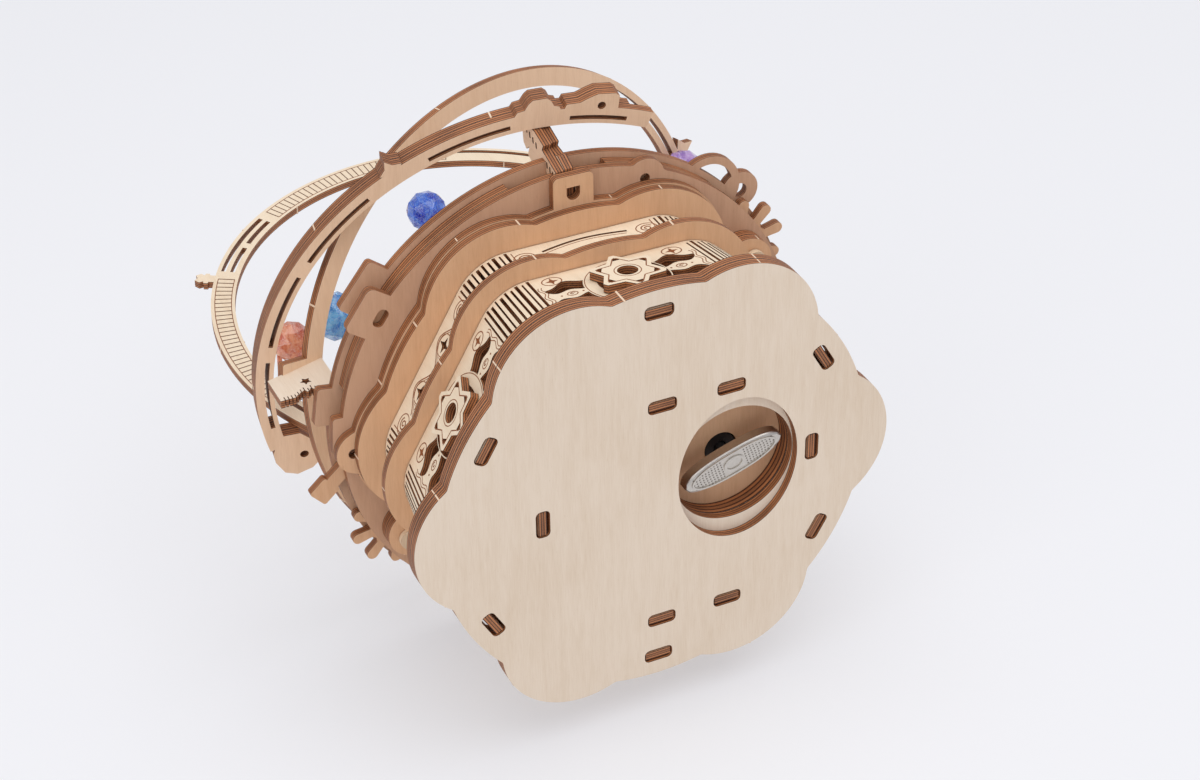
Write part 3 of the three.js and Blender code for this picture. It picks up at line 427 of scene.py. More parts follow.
def upright(x, y, z, turn=0):
    return Matrix.Translation((x, y, z)) @ rotation(turn, "Z") @ rotation(90, "X")


def tilted(rise, tilt, toward):
    return Matrix.Translation((0, 0, rise)) @ rotation(toward, "Z") @ rotation(tilt, "Y") @ rotation(-toward, "Z")


def placed(matrix):
    return lambda x, y, depth: matrix @ Vector((x, y, depth))


def newPiece(name, mesh):
    piece = bpy.data.objects.new(name, mesh)
    bpy.context.scene.collection.objects.link(piece)
    return piece


def recoat(piece, material):
    piece.data.materials.clear()
    piece.data.materials.append(material)


def seat(piece, body, nodes=()):
    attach(piece, body)
    if nodes:
        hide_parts(*nodes)
    return piece


# Cutting a sheet: solids less voids, then kept loops less keptVoids, with burnt walls round the union
def cutSheet(name, solids, voids=(), nodes=(), thick=2.4, low=0.0, spot=None, folds=(), kept=(), keptVoids=(),
             tones=("face", "face", "edge"), metal=None, body="frame", slot="birch_plywood"):
    points, loops, kinds = [], [], []
    for kind, group in enumerate((solids, voids, kept, keptVoids)):
        for loop in group:
            loops.append(list(range(len(points), len(points) + len(loop))))
            points.extend(Vector(p) for p in ccw(loop))
            kinds.append(kind)
    foldEdges = []
    for start, end in folds:
        foldEdges.append((len(points), len(points) + 1))
        points += [Vector(start), Vector(end)]
    flat, _, triangles, _, _, origins = delaunay_2d_cdt(points, foldEdges, loops, 1, 1e-5, True)
    faces = []
    for triangle, origin in zip(triangles, origins):
        inside = {kinds[index] for index in origin}
        if (2 in inside and 3 not in inside) or (0 in inside and 1 not in inside):
            faces.append(ccw(triangle, flat))
    piece = newPiece(name, extrude(name, flat, faces, thick, low, spot, tones))
    if metal:
        recoat(piece, metal)
    return seat(piece, body, nodes)


def extrude(name, flat, faces, thick, low, spot, tones):
    used = sorted({index for polygon in faces for index in polygon})
    order = {index: place for place, index in enumerate(used)}
    count = len(used)
    spot = spot or placed(Matrix.Identity(4))
    corners = [spot(*flat[index], depth) * mm for depth in (low, low + thick) for index in used]
    directed = {(a, b) for polygon in faces for a, b in zip(polygon, polygon[1:] + polygon[:1])}
    polygons, sheetUv, slots = [], [], []
    for polygon in faces:
        for slot, shift, turned in ((0, count, polygon), (1, 0, polygon[::-1])):
            polygons.append([order[i] + shift for i in turned])
            sheetUv.append([(flat[i].x * mm, flat[i].y * mm) for i in turned])
            slots.append(slot)
    for a, b in sorted(directed):
        if (b, a) in directed:
            continue
        polygons.append([order[a], order[b], order[b] + count, order[a] + count])
        start = (flat[a].x + flat[a].y) * mm
        end = start + (flat[b] - flat[a]).length * mm
        sheetUv.append([(start, 0.0), (end, 0.0), (end, 1.0), (start, 1.0)])
        slots.append(2)
    mesh = bpy.data.meshes.new(name)
    mesh.from_pydata(corners, [], polygons)
    layer = mesh.uv_layers.new(name="sheet")
    for polygon, uvs in zip(mesh.polygons, sheetUv):
        for loopIndex, uv in zip(polygon.loop_indices, uvs):
            layer.data[loopIndex].uv = uv
    for tone in tones:
        mesh.materials.append(woodTones[tone])
    mesh.polygons.foreach_set("material_index", slots)
    return mesh


# Lines burnt into a face stand 0.03 mm proud of it
def engrave(name, lines, voids=(), low=2.3, **rest):
    return cutSheet(name, lines, voids, thick=0.13, low=low, tones=("line", "line", "line"), **rest)


# Copies of a small box or drop along the edges of a path, one tree for all that repeats
def repeatTree():
    tree, taken, given = newTree(
        "repeatAlong", "GeometryNodeTree",
        {"Geometry": "Geometry", "Spacing": "Float", "Size": "Vector", "Round": "Bool", "Jitter": "Float",
         "Seed": "Int", "Material": "Material"}, {"Geometry": "Geometry"})
    line = addNode(tree, "GeometryNodeMeshToCurve", {"Mesh": taken["Geometry"]})
    points = addNode(tree, "GeometryNodeCurveToPoints", {"Curve": line.outputs[0], "Length": taken["Spacing"]},
                     mode="LENGTH")
    align = addNode(tree, "FunctionNodeAlignRotationToVector", {"Vector": points.outputs["Tangent"]}, axis="X")
    box = addNode(tree, "GeometryNodeMeshCube", {"Size": taken["Size"]})
    ball = addNode(tree, "GeometryNodeMeshIcoSphere", {"Radius": 0.5, "Subdivisions": 2})
    drop = addNode(tree, "GeometryNodeTransform", {"Geometry": ball.outputs["Mesh"], "Scale": taken["Size"]})
    shapes = {"Switch": taken["Round"], "False": box.outputs["Mesh"], "True": drop.outputs[0]}
    either = addNode(tree, "GeometryNodeSwitch", shapes, input_type="GEOMETRY")
    spread = addNode(tree, "FunctionNodeRandomValue", data_type="FLOAT")
    for label, source in (("Min", mathNode(tree, "SUBTRACT", 1, taken["Jitter"])),
                          ("Max", mathNode(tree, "ADD", 1, taken["Jitter"])), ("Seed", taken["Seed"])):
        put(tree, next(i for i in spread.inputs if i.name == label and i.enabled), source)
    copies = addNode(tree, "GeometryNodeInstanceOnPoints", {
        "Points": points.outputs["Points"], "Instance": either.outputs[0], "Rotation": align.outputs[0],
        "Scale": next(o for o in spread.outputs if o.enabled)})
    solid = addNode(tree, "GeometryNodeRealizeInstances", {0: copies.outputs[0]})
    coat = {"Geometry": solid.outputs[0], "Material": taken["Material"]}
    put(tree, given["Geometry"], addNode(tree, "GeometryNodeSetMaterial", coat).outputs[0])
    return tree, {item.name: item.identifier for item in tree.interface.items_tree if item.in_out == "INPUT"}


repeating, repeatNames = repeatTree()


def repeatAlong(name, paths, settings, place=None, body="frame"):
    corners, edges = [], []
    for path in paths:
        start = len(corners)
        corners += [(p[0] * mm, p[1] * mm, settings["lift"] * mm) for p in path]
        edges += [(start + i, start + i + 1) for i in range(len(path) - 1)]
    route = bpy.data.meshes.new(name + "Route")
    route.from_pydata(corners, edges, [])
    holder = newPiece(name + "Route", route)
    modifier = holder.modifiers.new("repeat", "NODES")
    modifier.node_group = repeating
    values = {"Spacing": settings["spacing"] * mm, "Size": tuple(v * mm for v in settings["size"]),
              "Round": settings.get("round", False), "Jitter": settings.get("jitter", 0.0),
              "Seed": settings.get("seed", 7), "Material": settings["material"]}
    for label, value in values.items():
        modifier[repeatNames[label]] = value
    mesh = bpy.data.meshes.new_from_object(holder.evaluated_get(bpy.context.evaluated_depsgraph_get()))
    bpy.data.objects.remove(holder)
    if place:
        scale = Matrix.Scale(mm, 4)
        mesh.transform(scale @ place @ scale.inverted())
    return seat(newPiece(name, mesh), body)


# Pale torn fibres where the sheet was broken out, across a plate's burnt edge
def tornMarks(name, loops, low, place=None, spacing=41.0, seed=3):
    repeatAlong(name, loops, {"spacing": spacing, "size": (0.42, 0.16, 2.3), "lift": low + 1.2, "jitter": 0.25,
                              "seed": seed, "material": woodTones["torn"]}, place)


# Plates: stacked sheets are a little thicker than single ones, so that no gap shows between them
arborX = 24.2
armAngle = -91
plates = {"stacked": 2.66, "slot": (8.6, 4.2), "tabRing": 57.35, "bore": 46, "shaft": 2.8, "disc": 70.3,
          "lobe": (62, 68.3), "leverEar": (180, 66, 7), "gearEar": (60.7, 8), "armGap": (59.7, 90, 5.7),
          "ribs": [(1, -27.6, 0), (21.6, -27.6, 0), (1, 44.7, 0), (21.6, 44.7, 0), (47.1, 0, 90), (-34.3, 0, 90)]}
levels = {"base": 0, "liner": 2.7, "lowerWall": 5.4, "middle": 32.4, "upperWall": 35.1, "wing": 49.8, "lobe": 52.5,
          "round": 55.2, "gear": 57.9, "top": 61.2}
sideWheels = {"angles": (-30, 150), "ring": 62.92, "axle": 2.4}
recess = {"eye": 18.2, "baseEye": (18.3, 22.7), "rim": 21.2, "deep": 4.8, "floor": 10.5, "hole": 5}
lever = {"pivot": (-64, 4), "pin": 1.5, "hole": 1.8, "turn": 138}
disc = {"ear": (-70, 67, 6), "earHole": 1.5, "slot": (5.5, 3.4), "slotAt": (69, -145)}
top = {"radius": 72, "bore": 7.7, "curl": (73.5, -40.5), "curlRound": (5.8, 2.2), "hook": (68.5, -48),
       "hookRound": (10, 7.6)}

# Each tab is given as its near end, far end, width, angle and corner
plateTabs = {"lobe": [(58, 71, 12, -90, 1.6)], "round": [(60, 77, 14, -145, 2), (60, 73, 12, -176, 1)],
             "top": [(60, 78, 16, -142, 1.2), (60, 76, 12, -171, 1)]}
plateTabs = {name: [barLoop(*tab) for tab in each] for name, each in plateTabs.items()}


def baseSlots():
    panels = [(*polar(plates["tabRing"], 30 + 60 * panel), 120 + 60 * panel) for panel in range(6)]
    return [slotLoop(x, y, *plates["slot"], turn) for x, y, turn in panels + plates["ribs"]]


def roundKey(radius, tall=None, steps=96):
    return ovalLoop(arborX, 0, radius, tall, steps)


stacked = plates["stacked"]
axleHoles = [ovalLoop(*polar(sideWheels["ring"], at), sideWheels["axle"]) for at in sideWheels["angles"]]
wingDiscs = [(at, *plates["gearEar"]) for at in sideWheels["angles"]]
outlines = {"base": lobedDiscs(64, 71), "liner": lobedDiscs(64, 71), "middle": lobedDiscs(60, 66.6),
            "wing": lobedDiscs(61.3, 67.8, wingDiscs), "lobe": lobedDiscs(*plates["lobe"])}
outlines = {name: outlineLoop(discs) for name, discs in outlines.items()}
bore = ovalLoop(0, 0, plates["bore"], steps=96)
shaftHole = ovalLoop(0, 0, plates["shaft"])
cutSheet("basePlate", [outlines["base"]], baseSlots() + [roundKey(*recess["baseEye"])], ["base_plate"], stacked,
         levels["base"])
cutSheet("baseLiner", [outlines["liner"]], baseSlots() + [roundKey(recess["eye"])], ["base_liner"], stacked,
         levels["liner"])
cutSheet("recessRing", [roundKey(recess["rim"])], [roundKey(recess["eye"])], ["recess_ring"], recess["deep"],
         levels["lowerWall"])
cutSheet("recessFloor", [roundKey(recess["rim"])], [ovalLoop(arborX, 0, recess["hole"])], ["recess_floor"],
         low=recess["floor"], tones=paintedShadeSheet)
cutSheet("middlePlate", [outlines["middle"]], [ovalLoop(arborX, 0, 1.9), shaftHole], ["middle_plate"],
         low=levels["middle"], tones=underPaintedShade)
cutSheet("wingPlate", [outlines["wing"]], [bore, *axleHoles], ["wing_plate"], stacked, levels["wing"],
         tones=underPaintedShade)
archHole = [Vector((-2, -67.4)), Vector((2, -67.4)), *curveLine(0, -65.4, 2, 2, 0, 180, 10)]
cutSheet("lobePlate", [outlineLoop(lobedDiscs(*plates["lobe"], [*wingDiscs, plates["leverEar"]])), *plateTabs["lobe"]],
         [bore, *axleHoles, ovalLoop(-68, 0, 1.6), archHole], ["lobe_plate"], stacked, levels["lobe"],
         tones=underPaintedShade)
armGap = barLoop(*plates["armGap"], armAngle)
ear = disc["ear"]
cutSheet("roundPlate", [outlineLoop([(0, 0, plates["disc"]), ear]), *plateTabs["round"]],
         [shaftHole, *axleHoles, ovalLoop(*polar(ear[1], ear[0]), disc["earHole"]),
          slotLoop(*polar(*disc["slotAt"]), *disc["slot"], 90 + disc["slotAt"][1]), armGap,
          ovalLoop(*lever["pivot"], lever["pin"])],
         ["round_plate"], low=levels["round"], tones=underDarkerPaintedShade)
cutSheet("leverPin", [ovalLoop(*lever["pivot"], lever["pin"], steps=24)], thick=4.8, low=levels["round"],
         tones=("face", "face", "face"))
curl, curlEye = [ovalLoop(*polar(*top["curl"]), radius) for radius in top["curlRound"]]
hook, hookEye = [ovalLoop(*polar(*top["hook"]), radius) for radius in top["hookRound"]]
cutSheet("topPlate", [ovalLoop(0, 0, top["radius"], steps=300), curl, *plateTabs["top"]],
         [ovalLoop(0, 0, top["bore"]), armGap, curlEye], ["top_plate"], low=levels["top"], kept=[hook],
         keptVoids=[hookEye, armGap], tones=underDarkerPaintedShade)
for index, (start, end) in enumerate([(22, 118), (-165, -104), (-80, -50)]):
    cutSheet(f"spacer{index + 1}", [arcLoop(plates["disc"], 6, start, end)], (), [f"spacer_{index + 1}"], 3,
             levels["gear"], tones=paintedShadeSheet)
print("plates done")

# Walls: a flat strip, cut and bent round the rounded hexagon, with hinge slits at its corners
wallTab = {"half": 3.8, "deep": -5.1}
bend = {"round": 17.0, "board": 2.4, "foldsEach": 27, "slits": 10, "slitWide": 0.8}


def wallStrip(apothem, topApothem, rise, low, height, margin, shift):
    inner = apothem - bend["round"]
    corner = bend["round"] * math.pi / 3
    straight = 2 * inner * math.tan(math.pi / 6)
    length = 6 * (corner + straight) - 0.05

    def spot(along, up, depth):
        side = min(5, max(0, int(along // (corner + straight))))
        t = along - side * (corner + straight)
        arm = bend["round"] + depth - bend["board"]
        point = polar(inner / math.cos(math.pi / 6), 60 * side)
        if t < corner:
            point += polar(arm, 60 * side - 30 + 60 * t / corner)
        else:
            point += polar(arm, 60 * side + 30)
            point += polar(1, 60 * side + 120) * (t - corner)
        draw = 1 - ((apothem - topApothem) / apothem) * (max(0, up) / rise)
        return Vector((point.x * draw, point.y * draw, low + up))

    folds, voids = [], []
    for side in range(6):
        start = side * (corner + straight)
        for step in range(bend["foldsEach"] + 1):
            x = start + corner * step / bend["foldsEach"] + 0.001
            folds.append(((x, -0.5), (x, height + 0.5)))
        for index in range(bend["slits"]):
            x = start + corner * (index + 0.5) / bend["slits"]
            odd = shift if index % 2 else -shift
            half = bend["slitWide"] / 2 * (1 + 0.3 * math.sin(2.4 * index + side))
            foot, head = margin + max(0, odd) * 1.6, height - margin + min(0, odd) * 1.6
            voids.append(boxLoop(x - half, foot, x + half, head))
    middles = [side * (corner + straight) + corner + straight / 2 for side in range(6)]
    return {"spot": spot, "straight": straight, "height": height, "sheet": boxLoop(0, 0, length, height),
            "folds": folds, "voids": voids, "middles": middles}


def cloudLoop(x, y, flip):
    steps = 44
    loop = []
    for step in range(steps):
        t = 2 * math.pi * step / steps
        along = math.cos(t)
        ripple = flip * 0.3 * math.cos(3 * along * math.pi / 2)
        wide = math.sin(t) * (1 - 0.22 * along * (1 if x > 0 else -1))
        loop.append(Vector((x + along * 6.8, y + (wide + ripple) * 2.75)))
    return loop


# Lower wall: two cloud openings on each side of a crescent, small carved eyes, stars and curls
fret = {"cloudAside": 16.0, "cloudApart": 4.5, "crescent": 12.3, "bite": 10.2, "biteShift": 1.8, "innerLine": 11.8,
        "lens": 16.4, "dots": (-3.2, 3.2), "oval": (18.6, 9.6), "fine": 0.26, "bold": 0.34, "insets": (0.0, 0.95),
        "frondSteps": 28, "wall": (58.55, 55.0, 27), "height": 26.7}
lower = wallStrip(*fret["wall"], levels["lowerWall"], fret["height"], 0.45, 0.5)
lowerKept, lowerKeptVoids, lowerLines, crescentLines = [], [], [], []
y = lower["height"] / 2
for side, x in enumerate(lower["middles"]):
    shift = fret["biteShift"] if side % 2 == 0 else -fret["biteShift"]
    lower["voids"].append(ovalLoop(x + shift, y, fret["bite"]))
    lowerKept.append(ovalLoop(x, y, fret["crescent"], steps=72))
    lowerKeptVoids.append(ovalLoop(x + shift, y, fret["bite"], steps=72))
    crescentLines += ringLines(x, y, fret["innerLine"], fret["innerLine"], fret["fine"], 30)
    for hand in (-1, 1):
        for flip in (-1, 1):
            cloud = cloudLoop(hand * fret["cloudAside"], flip * fret["cloudApart"], flip)
            lower["voids"].append(moved(cloud, x, y))
        lens = x + hand * fret["lens"]
        lowerLines += ringLines(lens, y, 1.5, 1.1, 0.3)
        lowerLines.append(ribbonLoop(curveLine(lens, y, 0.9, 0.7, 20, 330, 12, 0.8), fret["bold"]))
        lowerLines += [ovalLoop(lens + dot, y, 0.32, steps=10) for dot in fret["dots"]]
        oval = (x + hand * fret["oval"][0], y + fret["oval"][1])
        lowerLines += [*ringLines(*oval, 2.9, 2.3, fret["bold"]), starLoop(4, 2.0, 0.75, *oval, turn=0)]
        for inset in fret["insets"]:
            frond = [(x + hand * (23.6 - inset + 0.5 * math.sin(k * 0.75)), y + 7.4 - 0.62 * k)
                     for k in range(fret["frondSteps"])]
            sprig = curveLine(x + hand * 17.4, y - 7.6, 5.2 - inset, 3.2 - 0.6 * inset, 270 - hand * 6,
                              270 + hand * 74, 12)
            lowerLines += [ribbonLoop(frond, fret["fine"]), ribbonLoop(sprig, fret["fine"])]
feet = [boxLoop(x - wallTab["half"], wallTab["deep"], x + wallTab["half"], 1) for x in lower["middles"]]
cutSheet("lowerWall", [lower["sheet"], *feet], lower["voids"], ["lower_wall"], spot=lower["spot"],
         folds=lower["folds"], kept=lowerKept, keptVoids=lowerKeptVoids, tones=wallOverPaintedShade)
engrave("lowerWallEngraving", lowerLines, lower["voids"] + lowerKept, spot=lower["spot"], kept=crescentLines,
        keptVoids=lowerKeptVoids)

# Upper wall: a wave from eye to eye over hatching, with star cut-outs; the front panel is a bare plaque
wave = {"rise": 10.2, "swing": 2.2, "period": 15.2, "step": 0.5, "half": 29, "hatchLow": 3.0, "hatchStep": 0.95,
        "hatchGap": 1.4, "hatchWide": 0.13, "hatchRows": 7, "hatchReach": 14}
carved = {"eye": (18.2, 9.4), "star": (7.6, 8.8), "frame": 0.6, "frameEnd": 1.2}

# The plaque's bowed slots and lines: pitch, height, bow and width
bows = {"voids": [(1.15, 10.2, 2.0, 0.8), (1.15, 4.4, -0.8, 0.8)],
        "lines": [(1.1, 9.1, 2.0, 0.24), (1.1, 5.5, -0.8, 0.24)]}
upper = wallStrip(54, 54, 14.7, levels["upperWall"], 14.4, 0.4, 0.3)
upperLines = []
plaqueSide = 4


def waveHeight(t):
    return wave["rise"] - wave["swing"] * math.cos(2 * math.pi * t / wave["period"])


def waveLine(x, drop, width):
    steps = [wave["step"] * t for t in range(-wave["half"], wave["half"] + 1)]
    return ribbonLoop([(x + t, waveHeight(t) - drop) for t in steps], width)


def bowLine(x, pitch, base, bow, width):
    return ribbonLoop([(x + pitch * t, base + bow * math.cos(math.pi * t / 24)) for t in range(-11, 12)], width)


def hatchLines(x):
    step, low, gap, wide = wave["step"], wave["hatchLow"], wave["hatchGap"], wave["hatchWide"]
    feet = [wave["hatchStep"] * index for index in range(-wave["hatchReach"], wave["hatchReach"] + 1)]
    lines = [ribbonLoop([(x + foot, low), (x + foot, waveHeight(foot) - gap)], wide) for foot in feet]
    for row in range(wave["hatchRows"]):
        level = low + row * wave["hatchStep"]
        runs = [t for t in range(-27, 28) if waveHeight(step * t) - gap > level]
        for first in (t for t in runs if t - 1 not in runs):
            last = next(t for t in range(first, 29) if t + 1 not in runs)
            if last > first:
                lines.append(ribbonLoop([(x + step * first, level), (x + step * last, level)], wide))
    return lines


for side, x in enumerate(upper["middles"]):
    for hand in (-1, 1):
        eye = (x + hand * carved["eye"][0], carved["eye"][1])
        upperLines += ringLines(*eye, 3.1, 2.5, 0.3)
        upperLines.append(ribbonLoop(curveLine(*eye, 2.0, 1.6, 30, 620, 26, 0.85), 0.38))
        edgeX = x + hand * (upper["straight"] / 2 - carved["frame"])
        ends = (carved["frameEnd"], upper["height"] - carved["frameEnd"])
        upperLines.append(ribbonLoop([(edgeX, end) for end in ends], 0.3))
    if side == plaqueSide:
        upper["voids"] += [bowLine(x, *bow) for bow in bows["voids"]]
        upperLines += [bowLine(x, *bow) for bow in bows["lines"]]
        continue
    upperLines += [waveLine(x, 0, 0.34), waveLine(x, 0.8, 0.2)]
    stars = [(x + hand * carved["star"][0], carved["star"][1]) for hand in (-1, 1)]
    upper["voids"] += [starLoop(4, 2.6, 0.95, *star) for star in stars]
    for star in stars:
        upperLines += ringLines(*star, 3.3, 3.0, 0.24)
    engrave(f"upperWallHatch{side + 1}", hatchLines(x), [ovalLoop(*star, 3.3, 3.0, 28) for star in stars],
            spot=upper["spot"])
cutSheet("upperWall", [upper["sheet"]], upper["voids"], ["upper_wall"], spot=upper["spot"], folds=upper["folds"],
         tones=wallOverPaintedShade)
engrave("upperWallEngraving", upperLines, upper["voids"], spot=upper["spot"])

# Star rosettes: one sheet, standing on the crescent that is cut in the wall
rosette = {"outer": 10.3, "inner": 7.1, "hole": 2.9, "ring": 3.7, "rim": (8.4, 5.6), "low": 2.7, "thick": 2.6,
           "notch": [(-1.1, 0), (1.1, 0), (0, 1.9)]}
y = lower["height"] / 2
for side, x in enumerate(lower["middles"]):
    star = starLoop(6, rosette["outer"], rosette["inner"], x, y, 90, 1.5)
    turns = [60 * k for k in range(6)]
    notches = [moved(rosette["notch"], *(polar(rosette["inner"], 90 + turn) + Vector((x, y))), turn) for turn in turns]
    rim = starLoop(6, *rosette["rim"], x, y, 90, 1.0)
    rimLine = [ribbonLoop([rim[i], rim[(i + 1) % len(rim)]], 0.34) for i in range(len(rim))]
    cutSheet(f"rosetteFine{side + 1}", [star], [ovalLoop(x, y, rosette["hole"]), *notches], [f"rosette_{side + 1}"],
             rosette["thick"], rosette["low"], lower["spot"], tones=wallSheet)
    engrave(f"rosetteLine{side + 1}", ringLines(x, y, rosette["ring"], rosette["ring"], 0.26, 20) + rimLine, low=5.2,
            spot=lower["spot"])
print("walls done")

# Gears, lever
gearZ = levels["gear"] + 0.3
for side, at in zip(("right", "left"), sideWheels["angles"]):
    centre = polar(sideWheels["ring"], at)
    cutSheet(f"side_gear_{side}Fine", [moved(fingerGear(10, 8, 14.3, 1.7, at + 18), *centre)],
             [ovalLoop(*centre, sideWheels["axle"])], [f"side_gear_{side}"], low=gearZ, tones=underPaintedShade,
             body=f"{side}_wheel")
cutSheet("skyWheel", [wedgeGear(42, 47.62, 53.22, 1.2, -30)], [shaftHole], ["sky_gear"], low=gearZ, tones=paintedShadeSheet,
         body="rotor")
leverLoops = [ovalLoop(0, 0, 4), boxLoop(2.8, -2.2, 15.5, 2.2), moved(roundedBox(6.4, 6.4, 0.8), 15.5, 0)]
cutSheet("leverFine", [moved(loop, *lever["pivot"], lever["turn"]) for loop in leverLoops],
         [ovalLoop(*lever["pivot"], lever["hole"])], ["stop_lever"], low=gearZ, tones=underPaintedShade, body="lever")
print("gears done")

# Upright graduated ring with its pointer, cut off level at its foot
archPlace = Matrix.Translation((0, 9.6, 130)) @ rotation(5.1, "X") @ upright(0, 2.4, 0)
arch = {"radius": 80.8, "band": 7.4, "edges": (80.8, 73.4), "slot": 1.5, "foot": 66.3, "pointer": 152,
        "slots": [(0.27, 127, 149), (0.27, 53, 71), (0.66, 127, 137), (0.66, 139, 149), (0.66, 200, 213)],
        "crown": [(80, 1.7), (82.4, 1.7), (82.6, 2.5), (83.9, 2.5), (84.1, 1.6), (85.3, 2.3), (86.8, 1.3), (86.1, 0)]}
archVoids = [arcLoop(arch["radius"] - share * arch["band"] + arch["slot"] / 2, arch["slot"], start, end)
             for share, start, end in arch["slots"]]
pointer = [(out, -side) for out, side in arch["crown"]] + arch["crown"][-2::-1]
archEnd = math.degrees(math.asin(arch["foot"] / 77)) - 3.4
cutSheet("graduatedRing", [arcLoop(arch["radius"], arch["band"], -archEnd, 180 + archEnd, 1.0),
                           moved(pointer, 0, 0, arch["pointer"])],
         archVoids + [boxLoop(-90, -140, 90, -arch["foot"])], ["graduated_ring"], spot=placed(archPlace),
         tones=wallSheet)
graduation = {"spans": [(-38, 50), (74, 124), (152, 198)], "inner": 74.5, "outer": 79.6, "spacing": 2.05}
scaleWide = graduation["outer"] - graduation["inner"]
scaleMiddle = (graduation["inner"] + graduation["outer"]) / 2
borders = [arcLoop(radius + 0.12, 0.24, start, end, 1.5) for radius in (graduation["inner"], graduation["outer"])
           for start, end in graduation["spans"]]
tickPaths = [[polar(scaleMiddle, start + (end - start) * i / 60) for i in range(61)]
             for start, end in graduation["spans"]]
for face, lift, low in (("Front", 2.42, 2.3), ("Back", -0.02, -0.03)):
    repeatAlong("ringTicks" + face, tickPaths, {"spacing": graduation["spacing"], "size": (0.26, scaleWide, 0.14),
                                                "lift": lift, "material": woodTones["scorch"]}, archPlace)
    engrave("ringBorder" + face, borders, low=low, spot=placed(archPlace))

# Horizon band of two plies: lug at one end, clasp, gable and a star on its outer edge
bandPlace = tilted(80.5, 11, -50)
band = {"radius": 84, "wide": 5.2, "edges": (84, 78.8), "slot": 1.3, "slotAt": 0.62, "ply": 2.7, "start": -196,
        "ends": {"Lower": -68, "Upper": -72.5},
        "slots": [(-190, -172), (-168, -150), (-146, -128), (-114, -97), (-85, -73)],
        "holes": [(*polar(75.6, -200.5), 1.3), (*polar(84.6, -79), 1.2)]}
bandLoops = [polarLoop([(-193, 80), (-197, 83.6), (-199.5, 84.2), (-203, 83.4), (-205, 80.6), (-205.4, 75.8),
                        (-204, 71.4), (-199, 70.4), (-194, 74)]),
             polarLoop([(-86.4, 83.6), (-85.9, 85.3), (-83.4, 85.6), (-81.7, 87.1), (-80.2, 88.3), (-76.9, 88.7),
                        (-76.0, 88.0), (-75.5, 83.6), (-76.5, 81), (-85, 81)]),
             polarLoop([(-96.2, 83.6), (-95.4, 85.2), (-94.0, 85.4), (-93.2, 87.2), (-92.4, 88.2), (-89.8, 88.2),
                        (-89.0, 87.2), (-88.4, 85.4), (-87.4, 85.0), (-86.9, 83.6), (-88, 81), (-95, 81)]),
             starLoop(4, 3.6, 1.8, *polar(84.3, -121), turn=-121)]
bandVoids = [arcLoop(band["radius"] - band["slotAt"] * band["wide"] + band["slot"] / 2, band["slot"], *slot)
             for slot in band["slots"]] + [ovalLoop(*hole, steps=20) for hole in band["holes"]]
for index, (ply, end) in enumerate(band["ends"].items()):
    cutSheet("horizonBand" + ply, [arcLoop(band["radius"], band["wide"], band["start"], end, 1.0), *bandLoops],
             bandVoids, ["horizon_band_" + ply.lower()], stacked, band["ply"] * index, placed(bandPlace),
             tones=warmSheet)

# Orbit ring, tilted more, with its star and the tab that sits in the foot plate
orbitPlace = tilted(98.8, 17.7, 165)
orbit = {"outer": 76, "inner": 70.5, "slot": 1.4, "slots": [(-53, -41), (-37, -23)], "star": -21.5, "tab": -171}
orbitMiddle = (orbit["outer"] + orbit["inner"]) / 2
cutSheet("orbitRing", [ovalLoop(0, 0, orbit["outer"], steps=300),
                       starLoop(4, 4.6, 2.3, *polar(77.6, orbit["star"]), turn=orbit["star"]),
                       barLoop(74, 84, 9, orbit["tab"], 0.6)],
         [ovalLoop(0, 0, orbit["inner"], steps=300),
          *[arcLoop(orbitMiddle + orbit["slot"] / 2, orbit["slot"], *slot) for slot in orbit["slots"]]],
         ["orbit_ring"], spot=placed(orbitPlace), tones=warmSheet)
print("rings done")

# Winding key: a stamped boat shape, its face dotted inside a raised rim, with a bare boss in the middle; the dots are
# a darker metal, painted shade of the key's dimples
key = {"length": 31.0, "wide": 8.8, "low": 2.5, "angle": -18, "steps": 40, "relief": (0.5, 2.15), "rimHalf": 13.2,
       "rimShare": 0.8, "rimWide": 0.5, "rimStep": 20, "dotRow": 0.86, "dotFit": (14.6, 0.68), "dotStep": 20,
       "dotLeast": 4.4, "bossHalf": 3.8,
       "rows": [(0.0, 0.72), (0.25, 0.93), (0.55, 1.0), (3.45, 1.0), (3.75, 0.93), (4.0, 0.72)]}
keyPlace = Matrix.Translation((arborX, 0, 0)) @ rotation(key["angle"], "Z")


def keyHalf(t):
    return key["wide"] / 2 * max(0.0, 1 - abs(t) ** 2.6) ** 0.5


def keyBody():
    steps = key["steps"]
    count = 2 * steps
    shares = [(-1 + 2 * step / steps, -1) if step <= steps else (3 - 2 * step / steps, 1) for step in range(count)]
    corners, polygons = [], []
    for row, (up, share) in enumerate(key["rows"]):
        long = key["length"] / 2 - (1 - share) * 1.4
        corners += [Vector((t * long, sign * keyHalf(t) * share, key["low"] + up)) for t, sign in shares]
        if row:
            for step in range(count):
                a, b = (row - 1) * count + step, (row - 1) * count + (step + 1) % count
                polygons.append([a, b, b + count, a + count])
    polygons.append(list(range(count))[::-1])
    polygons.append([len(corners) - count + i for i in range(count)])
    mesh = bpy.data.meshes.new("windingKey")
    mesh.from_pydata([(keyPlace @ c) * mm for c in corners], [], polygons)
    mesh.materials.append(metals["nickel"])
    return mesh


def keyRows():
    rows = []
    reach, share = key["dotFit"]
    tries = [t / key["dotStep"] for t in range(256)]
    for row in range(-3, 4):
        y = row * key["dotRow"]
        far = max((t for t in tries if keyHalf(t / reach) * share > abs(y)), default=0)
        if far > key["dotLeast"]:
            rows += [[(-far, y), (-key["bossHalf"], y)], [(key["bossHalf"], y), (far, y)]]
    return rows


